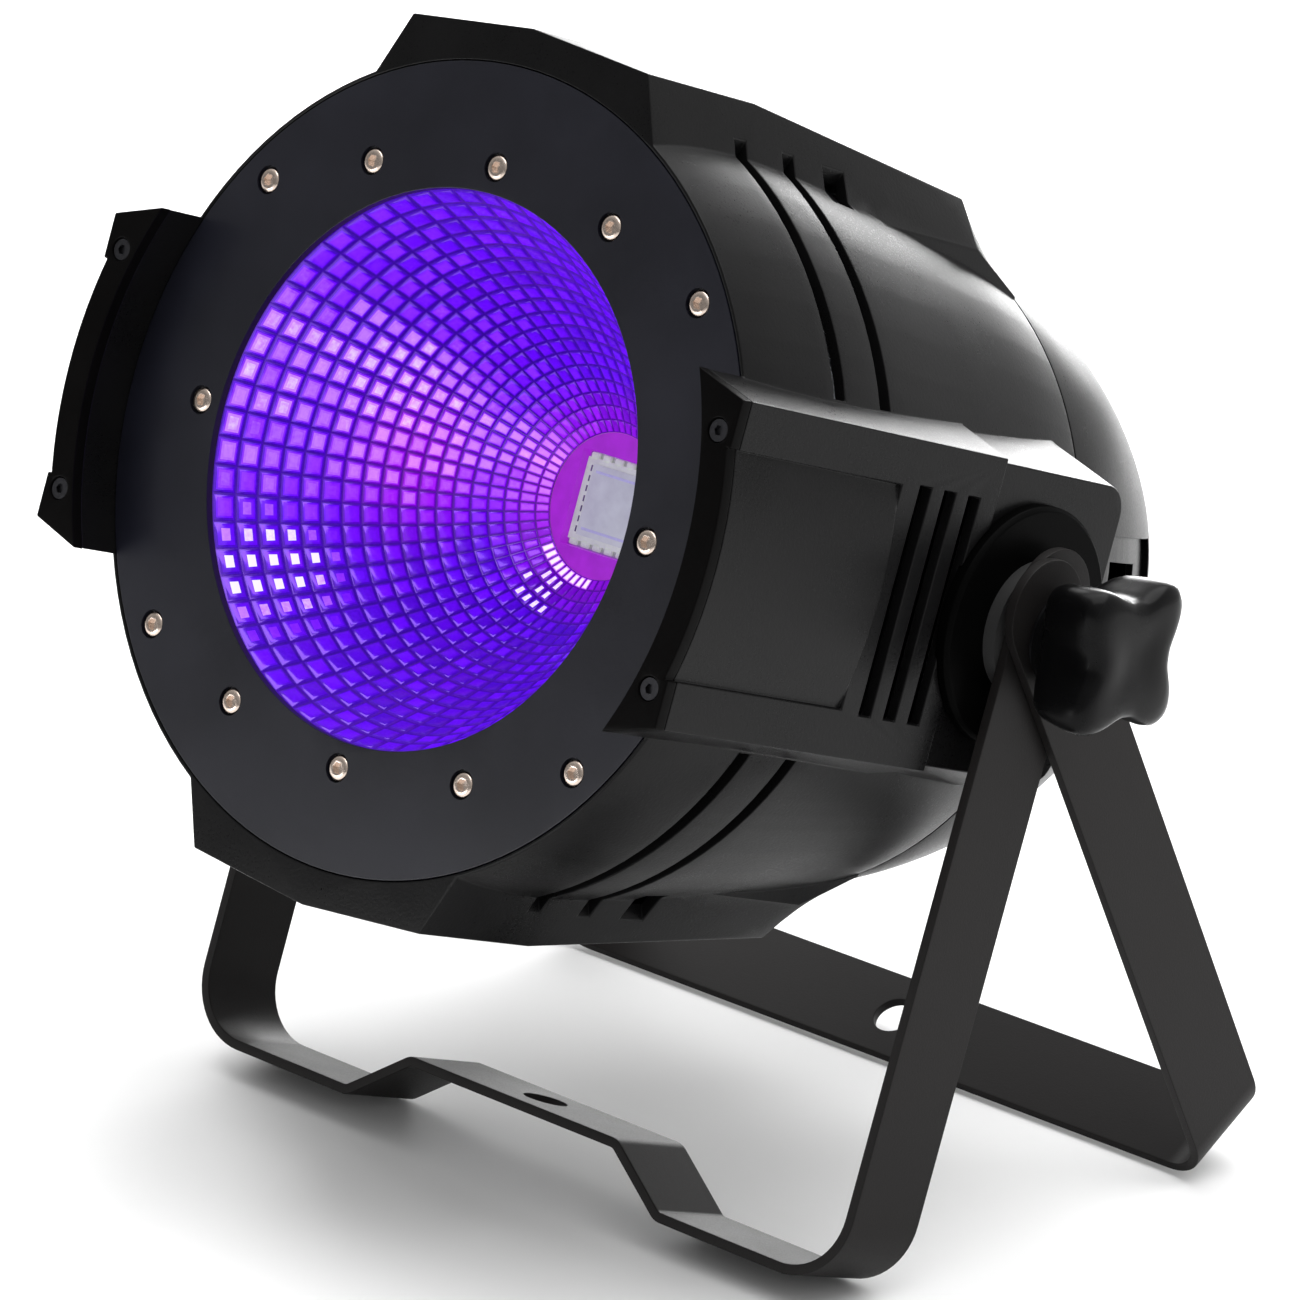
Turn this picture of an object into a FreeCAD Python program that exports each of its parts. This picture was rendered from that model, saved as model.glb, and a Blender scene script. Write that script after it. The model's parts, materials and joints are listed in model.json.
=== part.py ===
"""Stage par light with a COB emitter: a die-cast lamp head on two U brackets.

Every piece is drawn in the lamp's own frame first: X to the right, Y backwards along
the optical axis from the front face of the bezel, Z up.  finish_pose() then tips the
whole lamp so that it stands on the edges of its two brackets, with the floor at Z = 0.
All sizes are in millimetres, angles in degrees.
"""
import FreeCAD, Part
import os
import math

Vec = FreeCAD.Vector
X_AXIS = Vec(1, 0, 0)
Y_AXIS = Vec(0, 1, 0)
Z_AXIS = Vec(0, 0, 1)

# ---- shared clearances -------------------------------------------------------------
SEAT_GAP = 0.3            # between curved faces of neighbouring pieces
FACE_PLAY = 0.1           # between flat faces that slide on each other
RUN_FIT = 0.06            # radial clearance of a shaft that turns in a bore
SCREW_CLEARANCE = 0.3     # radial clearance of a screw in its passing hole
SOCKET_DEPTH = 0.6        # share of a screw head's depth that its socket takes
SOCKET_SHARE = 0.42       # socket's half width as a share of the head's radius

# ---- bezel and reflector -----------------------------------------------------------
BEZEL_RADIUS = 112.0
BEZEL_THICKNESS = 2.5
APERTURE_RADIUS = 77.0
OUTER_SCREW_EDGE = 9.0    # from the bezel's rim in to its outer screws
SIDE_SCREW_EDGE = 12.0    # from the aperture out to the screws beside it
AXIS_SCREW_EDGE = 7.3     # from the aperture out to the screws above and beside it
OUTER_SCREW_ANGLES = (51.5, 128.5, 231.5, 308.5)
SIDE_SCREW_ANGLES = (30.0, 150.0, 210.0, 330.0)
AXIS_SCREW_ANGLES = (0.0, 90.0, 180.0, 270.0)
BEZEL_SCREW_RADIUS = 2.0
BEZEL_HEAD_RADIUS = 3.8
BEZEL_HEAD_DEPTH = 1.6
BEZEL_SCREW_LENGTH = 9.0
BEZEL_SCREW_SOCKET = 1.5  # half width over flats of the hexagon socket
REFLECTOR_WALL = 1.5
REFLECTOR_LIP = 0.4       # how far the bowl's mouth hides behind the bezel
REFLECTOR_FLANGE = 17.0   # from the aperture out to the flange's rim
REFLECTOR_NECK_RADIUS = 21.0
REFLECTOR_NECK_Y = 82.0

# ---- emitter -----------------------------------------------------------------------
CHIP_SIDE = 27.0
CHIP_THICKNESS = 1.2
EMITTER_SIDE = 21.0
EMITTER_THICKNESS = 0.6
HOLDER_RADIUS = 30.0
HOLDER_THICKNESS = 3.5
HOLDER_SCREW_PLACE = 24.5
HOLDER_SCREW_RADIUS = 1.5
HOLDER_HEAD_RADIUS = 2.7
HOLDER_HEAD_DEPTH = 1.5
HOLDER_SCREW_LENGTH = 8.0

# ---- heatsink and fan --------------------------------------------------------------
SINK_BASE_INSET = 14.0    # from the bezel's radius in to the base's rim
SINK_BASE_THICKNESS = 8.0
SINK_FIN_INSET = 26.0
SINK_FIN_HEIGHT = 26.0
SINK_FIN_THICKNESS = 2.0
SINK_FIN_PITCH = 8.0
SINK_SHORTEST_FIN = 12.0
SINK_LEDGE_INSET = 23.0
SINK_LEDGE_DEPTH = 6.0
SINK_SCREW_INSET = 18.5
SINK_SCREW_RADIUS = 2.0
SINK_HEAD_RADIUS = 3.6
SINK_SCREW_GRIP = 5.0     # length of screw in the ledge
FAN_SIDE = 92.0
FAN_DEPTH = 25.0
FAN_DUCT_RADIUS = 44.0
FAN_BLADE_GAP = 1.0
FAN_HUB_RADIUS = 18.0
FAN_BASE_DEPTH = 4.0
FAN_BASE_GAP = 0.6        # between the hub and the motor base
FAN_STRUT_WIDTH = 5.0
FAN_SHAFT_RADIUS = 1.5
FAN_SHAFT_GRIP = 2.4      # length of shaft in the motor base
FAN_BLADES = 7
FAN_BLADE_THICKNESS = 2.0
FAN_BLADE_PITCH = 52.0
FAN_SCREW_SPACING = 82.5
FAN_SCREW_RADIUS = 2.0
FAN_HEAD_RADIUS = 3.4
FAN_SCREW_GRIP = 7.0      # length of screw in the heatsink's pillars
FAN_PILLAR_WALL = 2.5

# ---- head castings -----------------------------------------------------------------
WALL = 3.5
WEB_THICKNESS = 5.0
SKIN = ((0.0, 1.5), (37.0, 3.5), (85.0, 0.5), (122.0, -3.4), (152.0, -7.6))
SEAM_Y = 169.0
SEAM_DROP = 11.4          # the seam's radius is this much less than the bezel's
REAR_FACE_Y = 243.0
REAR_FACE_RADIUS = 74.0
REAR_BULGE = 4.0          # rise of the rear skin's arc over its chord
SPIGOT_LENGTH = 7.0
SPIGOT_WALL = 2.5
SPIGOT_ROOT = 4.0         # how far the spigot runs on inside the rear skin
SEAM_SCREW_ANGLES = (77.0, 103.0, 257.0, 283.0)
SEAM_SCREW_RADIUS = 1.6
SEAM_HEAD_RADIUS = 2.9
SEAM_HEAD_DEPTH = 2.0
SEAM_HEAD_SINK = 1.2      # depth of the head's seat below the skin
HUMP_RISE = 11.0          # ridge of the hump above the bezel's radius
HUMP_SHOULDER_X = 43.7
HUMP_SHOULDER_DROP = 4.0  # below the ridge
HUMP_FOOT_X = 54.0
HUMP_FOOT_DROP = 27.0     # below the ridge
HUMP_ROOT_DROP = 63.0
HUMP_FALL_START = 46.0
HUMP_FALL = 10.0          # drop of the shoulder from HUMP_FALL_START to HUMP_BREAK
HUMP_BREAK = 146.0
HUMP_END_DROP = 32.0
HUMP_WALL = 4.0
HUMP_INNER_SHOULDER = 0.7 # share of the wall by which the inner shoulder is narrower
HUMP_INNER_END = 0.5      # share of the wall by which the inner hump is shorter

# ---- side pods ---------------------------------------------------------------------
POD_OVERHANG = 6.0        # pod's side beyond the bezel's radius
POD_HALF_HEIGHT = 44.0
POD_DRAFT = 16.5          # slope of the pod's top and bottom faces
POD_ROOT_INSET = 24.0
POD_FRONT = 17.4          # how far the pod's face stands in front of the bezel
POD_REAR_Y = 159.0
POD_STEP_Y = 100.0
POD_STEP = 1.3
POD_CORNER = 8.0
POD_PLATE_THICKNESS = 4.0
PANEL_BOW = 8.7           # bowed side panel's radius beyond the bezel's
PANEL_HALF_HEIGHT = 31.0
PANEL_END_Y = 57.0
POD_SLOT_PLACES = (67.5, 78.5, 89.5)
POD_SLOT_WIDTH = 5.2
POD_SLOT_HALF_HEIGHT = 31.8
POD_SLOT_DEPTH = 7.0
PLATE_SCREW_HEIGHT = 34.6
PLATE_SCREW_RADIUS = 1.8
PLATE_SCREW_LENGTH = 12.0
PLATE_HEAD_RADIUS = 3.0
PLATE_HEAD_DEPTH = 1.8
PLATE_HEAD_SINK = 0.6     # the head's top lies this far below the plate's face

# ---- vents -------------------------------------------------------------------------
VENT_PLACES = (38.6, 60.0)
VENT_WIDTH = 5.0
VENT_START = 24.0         # angle from the vertical, on the hump's flank
VENT_END = 65.0
HUMP_VENT_Y = 81.0
HUMP_VENT_LENGTH = 10.0
HUMP_VENT_END = 29.0
REAR_RECESS_HALF_HEIGHT = 27.5
REAR_RECESS_DEPTH = 1.6
REAR_RECESS_START = 20.0  # behind the seam
REAR_RECESS_END = 4.0     # in front of the rear face
REAR_VENT_PLACES = (-17.0, 0.0, 17.0)
REAR_VENT_HEIGHT = 6.0
REAR_VENT_MARGIN = 7.0    # between the recess's front end and the slots
REAR_VENT_LENGTH = 25.0

# ---- pivot, brackets and knobs -----------------------------------------------------
PIVOT_Y = 124.0
PIVOT_DISC_RADIUS = 34.0
PIVOT_DISC_THICKNESS = 4.4
PIVOT_DISC_CHAMFER = 1.2
SPACER_RADIUS = 19.0
SPACER_THICKNESS = 4.0
STRAP_WIDTH = 30.0
STRAP_THICKNESS = 3.0
STRAP_END = 24.0          # from the pivot to the rounded end of a strap
FRONT_REACH = 189.5       # pivot to the outer face of the crossbar
REAR_REACH = 207.5
REAR_SWING = 48.3         # rear bracket's angle behind the front one
FRONT_BEND = 21.0         # outside bend radius
REAR_BEND = 15.0
HAT_HEIGHT = 15.0
HAT_HALF_TOP = 40.0
HAT_HALF_FOOT = 61.0
HAT_BEND = 6.0
CLAMP_HOLE_RADIUS = 6.5
STUD_RADIUS = 4.0
STUD_GRIP = 17.0          # length of stud inside the pod
STUD_IN_KNOB = 15.0
INSERT_RADIUS = 7.0
INSERT_LENGTH = 19.2
INSERT_SINK = 0.5         # the bush's end lies this far below the pod's side
PIVOT_BOSS_RADIUS = 14.0
CLAMP_WASHER_RADIUS = 12.0
CLAMP_WASHER_THICKNESS = 1.6
KNOB_LENGTH = 26.5
KNOB_BASE_LENGTH = 4.0
KNOB_BASE_RADIUS = 14.0
KNOB_CORE_RADIUS = 17.0
KNOB_LOBE_PLACE = 18.0
KNOB_LOBE_RADIUS = 7.8
KNOB_LOBES = 4
KNOB_TURN = 33.0
KNOB_CHAMFER = 1.5

# ---- electronics -------------------------------------------------------------------
CHASSIS_GAP = 5.2         # between the fan and the chassis plate
CHASSIS_THICKNESS = 1.5
CHASSIS_INSET = 14.0      # from the bezel's radius in to the plate's rim
CHASSIS_FLAT_Z = 74.0     # the plate is cut off level above this
CHASSIS_AIR_RADIUS = 38.0
CHASSIS_BOSS_INSET = 26.0
CHASSIS_BOSS_WIDTH = 14.0
CHASSIS_BOSS_DEPTH = 12.0
CHASSIS_SCREW_INSET = 20.0
CHASSIS_SCREW_LENGTH = 9.0
DIAGONALS = (45, 135, 225, 315)
DRIVER_WIDTH = 100.0
DRIVER_HEIGHT = 32.0
DRIVER_AIR = 5.5          # kept clear between the driver's case and the fuse holder
DRIVER_SHARE = 0.5        # share of the room left there that the case fills
DRIVER_CENTRE_Z = -58.0
DRIVER_GROOVE = (2.0, 3.0)
DRIVER_GROOVE_PITCH = 12.0
DRIVER_FOOT = 10.0        # length and height of each foot
DRIVER_FOOT_THICKNESS = 2.0
DRIVER_SCREW_RADIUS = 1.5
DRIVER_HEAD_RADIUS = 2.8
DRIVER_HEAD_DEPTH = 2.0
DRIVER_SCREW_LENGTH = 5.0
SCREW_HEAD_DEPTH = 2.4

# ---- rear panel --------------------------------------------------------------------
PANEL_PLATE_THICKNESS = 2.0
PANEL_RIM = 6.0           # from the rear face's rim in to the plate
PANEL_SEAT = 8.0          # width of the seat under the plate
PANEL_SCREW_RADIUS = 1.6
PANEL_HEAD_RADIUS = 3.0
PANEL_SCREW_LENGTH = 5.0
BOARD_SIZE = (72.0, 1.6, 40.0)
BOARD_CENTRE_Z = 25.0
BOARD_STANDOFF = 11.0
BOARD_STANDOFF_RADIUS = 2.8
BOARD_STANDOFF_EDGE = 4.0
SWITCH_SIZE = (6.0, 4.0, 6.0)
PROCESSOR_SIZE = (12.0, 2.4, 12.0)
RELAY_SIZE = (18.0, 8.4, 10.0)
DISPLAY_SIZE = (46.0, 17.0)
DISPLAY_CENTRE_Z = 34.0
DISPLAY_CORNER = 1.5
DISPLAY_DEPTH = 7.0
DISPLAY_PROUD = 0.6
BUTTON_PLACES = (-24.0, -8.0, 8.0, 24.0)
BUTTON_NAMES = ("menu", "down", "up", "enter")
BUTTON_Z = 13.5
BUTTON_RADIUS = 4.0
BUTTON_PROUD = 2.0
BUTTON_STEM = 6.0         # length of the button behind the panel
BUTTON_COLLAR = 1.0
BUTTON_COLLAR_DEPTH = 1.5
BUTTON_FILLET = 0.8
BUTTON_CLEARANCE = 0.15

# ---- sockets, fuse and ring bolt ---------------------------------------------------
SOCKET_PITCH = 28.0
SOCKET_Z = -13.5
SOCKET_FLANGE = (26.0, 2.0, 30.0)
SOCKET_CORNER = 3.0
SOCKET_BODY_RADIUS = 11.5
SOCKET_BODY_DEPTH = 24.0
SOCKET_MOUTH_RADIUS = 9.6
SOCKET_MOUTH_DEPTH = 16.0
SOCKET_SCREW = (9.5, 12.0)
SOCKET_SCREW_RADIUS = 1.4
SOCKET_HEAD_RADIUS = 2.6
SOCKET_HEAD_DEPTH = 1.4
SOCKET_SCREW_LENGTH = 7.0
PIN_RADIUS = 1.25
PIN_HOLE_CLEARANCE = 0.25
PIN_CIRCLE = 4.6
PIN_LENGTH = 11.0
OUTLET_CORE_GAP = 1.5     # between the outlet's core and its mouth
POWER_CORE_RADIUS = 6.2
POWER_CORE_SINK = 2.0     # the core ends this far inside the mouth
POWER_KEY = (2.4, 7.6)
POWER_CONTACT_RADIUS = 1.3
POWER_CONTACT_CIRCLE = 3.0
LATCH_SIZE = (6.0, 7.5, 3.0)
LATCH_DROP = 0.6          # latch's middle below the mouth's edge
LATCH_PROUD = 2.2
LATCH_TRAVEL = 1.5
LATCH_CLEARANCE = 0.25
LATCH_FILLET = 0.6
FUSE_PLACE = (22.0, -43.5)
FUSE_BODY_RADIUS = 6.2
FUSE_WALL = 1.4
FUSE_FLANGE_RADIUS = 8.5
FUSE_FLANGE_THICKNESS = 2.0
FUSE_NUT_THICKNESS = 3.0
FUSE_DEPTH = 26.0
FUSE_CAP_RADIUS = 6.6
FUSE_CAP_HEIGHT = 4.0
FUSE_CAP_CHAMFER = 0.6
FUSE_PLUG_LENGTH = 14.0
FUSE_SLOT = (9.9, 2.4, 1.4)
EYE_PLACE = (-22.0, -43.5)
EYE_RING_RADIUS = 8.0
EYE_WIRE_RADIUS = 2.2
EYE_SHANK_RADIUS = 3.0
EYE_COLLAR_RADIUS = 5.6
EYE_COLLAR_THICKNESS = 2.4
EYE_NUT_RADIUS = 5.8
EYE_NUT_THICKNESS = 5.0
EYE_SHANK_TAIL = 3.0      # length of shank beyond the nut

# ---- places that follow from the sizes above ---------------------------------------
SKIN_POINTS = tuple((y, BEZEL_RADIUS + rise) for y, rise in SKIN)
SKIN_FRONT_RADIUS = SKIN_POINTS[0][1]
SEAM_RADIUS = BEZEL_RADIUS - SEAM_DROP
SEAM_SCREW_Y = SEAM_Y - SPIGOT_LENGTH / 2
HUMP_TOP = BEZEL_RADIUS + HUMP_RISE
POD_HALF_WIDTH = BEZEL_RADIUS + POD_OVERHANG
POD_ROOT_X = BEZEL_RADIUS - POD_ROOT_INSET
PANEL_RADIUS = BEZEL_RADIUS + PANEL_BOW
REFLECTOR_FLANGE_RADIUS = APERTURE_RADIUS + REFLECTOR_FLANGE
SINK_FACE_Y = REFLECTOR_NECK_Y + SEAT_GAP + HOLDER_THICKNESS
SINK_BASE_RADIUS = BEZEL_RADIUS - SINK_BASE_INSET
SINK_FIN_RADIUS = BEZEL_RADIUS - SINK_FIN_INSET
SINK_LEDGE_INNER = BEZEL_RADIUS - SINK_LEDGE_INSET
SINK_SCREW_PLACE = BEZEL_RADIUS - SINK_SCREW_INSET
FIN_START_Y = SINK_FACE_Y + SINK_BASE_THICKNESS
FAN_FACE_Y = FIN_START_Y + SINK_FIN_HEIGHT
FAN_REAR_Y = FAN_FACE_Y + FAN_DEPTH
CHASSIS_Y = FAN_REAR_Y + CHASSIS_GAP
CHASSIS_REAR_Y = CHASSIS_Y + CHASSIS_THICKNESS
CHASSIS_RADIUS = BEZEL_RADIUS - CHASSIS_INSET
CHASSIS_BOSS_INNER = BEZEL_RADIUS - CHASSIS_BOSS_INSET
CHASSIS_SCREW_PLACE = BEZEL_RADIUS - CHASSIS_SCREW_INSET
FUSE_END_Y = REAR_FACE_Y - FUSE_DEPTH
DRIVER_DEPTH = DRIVER_SHARE * (FUSE_END_Y - CHASSIS_REAR_Y - DRIVER_AIR)
POD_REAR_HALF_WIDTH = POD_HALF_WIDTH - POD_STEP
PIVOT_BOSS_INNER_X = POD_REAR_HALF_WIDTH - INSERT_SINK - INSERT_LENGTH
SPACER_X = POD_REAR_HALF_WIDTH + PIVOT_DISC_THICKNESS
FRONT_STRAP_X = SPACER_X + SPACER_THICKNESS + FACE_PLAY
REAR_STRAP_X = FRONT_STRAP_X + STRAP_THICKNESS + SEAT_GAP
CLAMP_WASHER_X = REAR_STRAP_X + STRAP_THICKNESS + FACE_PLAY
KNOB_X = CLAMP_WASHER_X + CLAMP_WASHER_THICKNESS + FACE_PLAY
PANEL_INNER_Y = REAR_FACE_Y - PANEL_PLATE_THICKNESS
PANEL_PLATE_RADIUS = REAR_FACE_RADIUS - PANEL_RIM
PANEL_OPENING_RADIUS = PANEL_PLATE_RADIUS - PANEL_SEAT
PANEL_SCREW_PLACE = PANEL_PLATE_RADIUS - PANEL_SEAT / 2
BOARD_Y = PANEL_INNER_Y - BOARD_STANDOFF - BOARD_SIZE[1]
SOCKET_OUTER_Y = REAR_FACE_Y + SOCKET_FLANGE[1]
SOCKET_FLOOR_Y = SOCKET_OUTER_Y - SOCKET_MOUTH_DEPTH
LATCH_Z = SOCKET_Z + SOCKET_MOUTH_RADIUS - LATCH_DROP
HALF_ROOM = 2 * (BEZEL_RADIUS + REAR_FACE_Y)   # half width of a block that cuts right through
OVERRUN = 1.0             # how far a cut runs past the faces it opens

SIDES = (("left", -1), ("right", 1))
CORNERS = ((-1, -1), (-1, 1), (1, -1), (1, 1))


# ---- small drawing helpers ---------------------------------------------------------
def cylinder_y(radius, y_start, y_end, x=0.0, z=0.0):
    """Cylinder along the optical axis."""
    return Part.makeCylinder(radius, y_end - y_start, Vec(x, y_start, z), Y_AXIS)


def cylinder_x(radius, x_start, x_end, y=PIVOT_Y, z=0.0):
    """Cylinder along the pivot axis."""
    return Part.makeCylinder(radius, x_end - x_start, Vec(x_start, y, z), X_AXIS)


def block(x_span, y_span, z_span):
    """Box between two values on each axis."""
    corner = Vec(x_span[0], y_span[0], z_span[0])
    return Part.makeBox(x_span[1] - x_span[0], y_span[1] - y_span[0],
                        z_span[1] - z_span[0], corner)


def centred_block(size, centre):
    """Box of a given size about a centre point."""
    corner = Vec(centre[0] - size[0] / 2, centre[1] - size[1] / 2, centre[2] - size[2] / 2)
    return Part.makeBox(size[0], size[1], size[2], corner)


def polar(radius, angle):
    """X and Z of a point at an angle clockwise from the top, seen from the front."""
    turn = math.radians(angle)
    return radius * math.sin(turn), radius * math.cos(turn)


def fuse_all(shapes):
    """One shape from several overlapping ones."""
    shapes = list(shapes)
    return shapes[0].multiFuse(shapes[1:]).removeSplitter() if len(shapes) > 1 else shapes[0]


def cut_all(shape, tools):
    """Cut several tools out of a shape."""
    return shape.cut(Part.makeCompound(list(tools)))


def mirror_x(shape):
    """The same piece on the other side of the lamp."""
    return shape.mirror(Vec(0, 0, 0), X_AXIS)


def on_side(shape, sign):
    """A piece drawn on the right, kept there or mirrored to the left."""
    return shape if sign > 0 else mirror_x(shape)


def revolve_profile(edges):
    """Solid of revolution about the optical axis from edges in the X-Y half plane."""
    face = Part.Face(Part.Wire(Part.__sortEdges__(edges)))
    return face.revolve(Vec(0, 0, 0), Y_AXIS, 360)


def polyline(points):
    """Straight edges through (x, y) points in the X-Y plane."""
    vectors = [Vec(x, y, 0) for x, y in points]
    return [Part.LineSegment(a, b).toShape() for a, b in zip(vectors, vectors[1:])]


def curve(points):
    """Smooth edge through (x, y) points in the X-Y plane."""
    spline = Part.BSplineCurve()
    spline.interpolate([Vec(x, y, 0) for x, y in points])
    return spline.toShape()


def prism(points, y_start, y_end):
    """Straight prism along Y over a closed outline of (x, z) points."""
    loop = [Vec(x, y_start, z) for x, z in points]
    face = Part.Face(Part.makePolygon(loop + [loop[0]]))
    return face.extrude(Vec(0, y_end - y_start, 0))


# ---- the front casting -------------------------------------------------------------
def skin_solid(inset):
    """Solid inside the bell-shaped skin of the front casting, inset by a wall."""
    points = [(radius - inset, y) for y, radius in SKIN_POINTS] + [(SEAM_RADIUS - inset, SEAM_Y)]
    edges = [curve(points)]
    edges += polyline([points[-1], (0, SEAM_Y), (0, points[0][1]), points[0]])
    return revolve_profile(edges)


def hump_solid(inset):
    """Faceted hump on top of the casting, as a solid, inset by a wall."""
    def section(y, drop):
        top = HUMP_TOP - inset - drop
        shoulder = (HUMP_SHOULDER_X - inset * HUMP_INNER_SHOULDER, top - HUMP_SHOULDER_DROP)
        foot_x = HUMP_FOOT_X - inset
        foot = (foot_x, min(HUMP_TOP - HUMP_FOOT_DROP, shoulder[1] - OVERRUN))
        half = [shoulder, foot, (foot_x, HUMP_TOP - HUMP_ROOT_DROP)]
        loop = [(0, top)] + half + [(-x, z) for x, z in reversed(half)]
        return Part.makePolygon([Vec(x, y, z) for x, z in loop + [loop[0]]])

    front = section(inset, 0.0)
    level = section(HUMP_FALL_START, 0.0)
    rear = section(HUMP_BREAK - inset, HUMP_FALL)
    end = section(SEAM_Y - inset * HUMP_INNER_END, HUMP_END_DROP)
    parts = [Part.makeLoft(list(pair), True, True) for pair in
             ((front, level), (level, rear), (rear, end))]
    return fuse_all(parts)


def pod_outline(inset):
    """Right pod's cross-section, (x, z), inset for the rear part."""
    outer = POD_HALF_WIDTH - inset
    height = POD_HALF_HEIGHT - inset
    rise = (outer - POD_ROOT_X) * math.tan(math.radians(POD_DRAFT))
    return [(outer, height), (outer, -height), (POD_ROOT_X, -height - rise),
            (POD_ROOT_X, height + rise)]


def panel_zone(y_start, y_end):
    """Block round the bowed side panel of the right pod."""
    return block((POD_ROOT_X, PANEL_RADIUS + OVERRUN), (y_start, y_end),
                 (-PANEL_HALF_HEIGHT, PANEL_HALF_HEIGHT))


def right_pod():
    """Right pod: front block, bowed side panel, stepped pivot block and slots."""
    front_face = POD_PLATE_THICKNESS - POD_FRONT
    front = prism(pod_outline(0.0), front_face, POD_STEP_Y)
    rear = prism(pod_outline(POD_STEP), POD_STEP_Y, POD_REAR_Y)
    corners = [edge for edge in rear.Edges
               if abs(edge.CenterOfMass.y - POD_REAR_Y) < 0.01
               and abs(edge.CenterOfMass.z) > POD_HALF_HEIGHT - POD_CORNER
               and edge.CenterOfMass.x < POD_REAR_HALF_WIDTH - OVERRUN / 2]
    rear = rear.makeFillet(POD_CORNER, corners)
    bow = cylinder_y(PANEL_RADIUS, front_face, PANEL_END_Y).common(
        panel_zone(front_face, PANEL_END_Y))
    pod = fuse_all([front.cut(panel_zone(front_face - OVERRUN, PANEL_END_Y)), bow, rear])
    clear_front = cylinder_y(BEZEL_RADIUS + SEAT_GAP, front_face - OVERRUN, BEZEL_THICKNESS)
    slots = [block((POD_HALF_WIDTH - POD_SLOT_DEPTH, PANEL_RADIUS + OVERRUN),
                   (y - POD_SLOT_WIDTH / 2, y + POD_SLOT_WIDTH / 2),
                   (-POD_SLOT_HALF_HEIGHT, POD_SLOT_HALF_HEIGHT)) for y in POD_SLOT_PLACES]
    return cut_all(pod, [clear_front] + slots)


def sector(radius_in, radius_out, y_start, y_end, angle_start, angle_end):
    """Part of a flat ring between two angles clockwise from the top."""
    ring = cylinder_y(radius_out, y_start, y_end).cut(
        cylinder_y(radius_in, y_start - OVERRUN, y_end + OVERRUN))
    reach = radius_out * 2
    points = [(0.0, 0.0), polar(reach, angle_start),
              polar(reach, (angle_start + angle_end) / 2), polar(reach, angle_end)]
    return ring.common(prism(points, y_start - OVERRUN, y_end + OVERRUN))


def quadrant_copies(shape):
    """A cut in the upper right quadrant and its three mirror images."""
    right = [shape, shape.mirror(Vec(0, 0, 0), Z_AXIS)]
    return right + [mirror_x(each) for each in right]


def front_vents():
    """Curved slots between the humps and the pods, and short ones on the humps' flanks."""
    outer = HUMP_TOP + OVERRUN
    inner = SINK_BASE_RADIUS - SINK_LEDGE_DEPTH
    slots = [(y, VENT_WIDTH, VENT_END) for y in VENT_PLACES]
    slots.append((HUMP_VENT_Y, HUMP_VENT_LENGTH, HUMP_VENT_END))
    cuts = []
    for y, length, end in slots:
        cuts += quadrant_copies(sector(inner, outer, y - length / 2, y + length / 2,
                                       VENT_START, end))
    return cuts


def radial_block(inner, outer, width, y_start, y_end, angle):
    """Block on a radius at an angle clockwise from the top."""
    shape = block((-width / 2, width / 2), (y_start, y_end), (inner, outer))
    shape.rotate(Vec(0, 0, 0), Y_AXIS, angle)
    return shape


def radial_cylinder(radius, inner, outer, y, angle):
    """Cylinder on a radius at an angle clockwise from the top."""
    shape = Part.makeCylinder(radius, outer - inner, Vec(0, y, inner), Z_AXIS)
    shape.rotate(Vec(0, 0, 0), Y_AXIS, angle)
    return shape


def holes_on_circle(radius, place, angles, y_start, y_end):
    """Round holes along the optical axis on a circle."""
    return [cylinder_y(radius, y_start, y_end, *polar(place, angle)) for angle in angles]


def housing_outer():
    """Outer solid of the front casting."""
    top = hump_solid(0.0)
    pods = [right_pod(), mirror_x(right_pod())]
    return fuse_all([skin_solid(0.0), top, top.mirror(Vec(0, 0, 0), Z_AXIS)] + pods)


def pod_hollow():
    """Room inside the right pod, open to the inside of the head."""
    step = POD_STEP_Y - WALL
    front = prism(pod_outline(WALL), BEZEL_THICKNESS + WEB_THICKNESS + WALL, step)
    rear = prism(pod_outline(POD_STEP + WALL), step, POD_REAR_Y - WALL)
    return fuse_all([front, rear])


def cavity():
    """Hollow inside the front casting, behind the web."""
    hump = hump_solid(HUMP_WALL)
    hollow = fuse_all([skin_solid(WALL), hump, hump.mirror(Vec(0, 0, 0), Z_AXIS),
                       pod_hollow(), mirror_x(pod_hollow())])
    behind_web = block((-HALF_ROOM, HALF_ROOM),
                       (BEZEL_THICKNESS + WEB_THICKNESS, SEAM_Y + OVERRUN),
                       (-HALF_ROOM, HALF_ROOM))
    return hollow.common(behind_web)


def housing_lugs():
    """Ledge for the heatsink and lugs for the chassis plate, inside the casting."""
    ledge = cylinder_y(SKIN_FRONT_RADIUS, SINK_FACE_Y - SINK_LEDGE_DEPTH, SINK_FACE_Y).cut(
        cylinder_y(SINK_LEDGE_INNER, SINK_FACE_Y - SINK_LEDGE_DEPTH - OVERRUN,
                   SINK_FACE_Y + OVERRUN))
    lugs = [radial_block(CHASSIS_BOSS_INNER, SKIN_FRONT_RADIUS, CHASSIS_BOSS_WIDTH,
                         CHASSIS_Y - CHASSIS_BOSS_DEPTH, CHASSIS_Y, angle)
            for angle in DIAGONALS]
    inner_limit = skin_solid(WALL / 2)
    return [piece.common(inner_limit) for piece in [ledge] + lugs]


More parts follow.
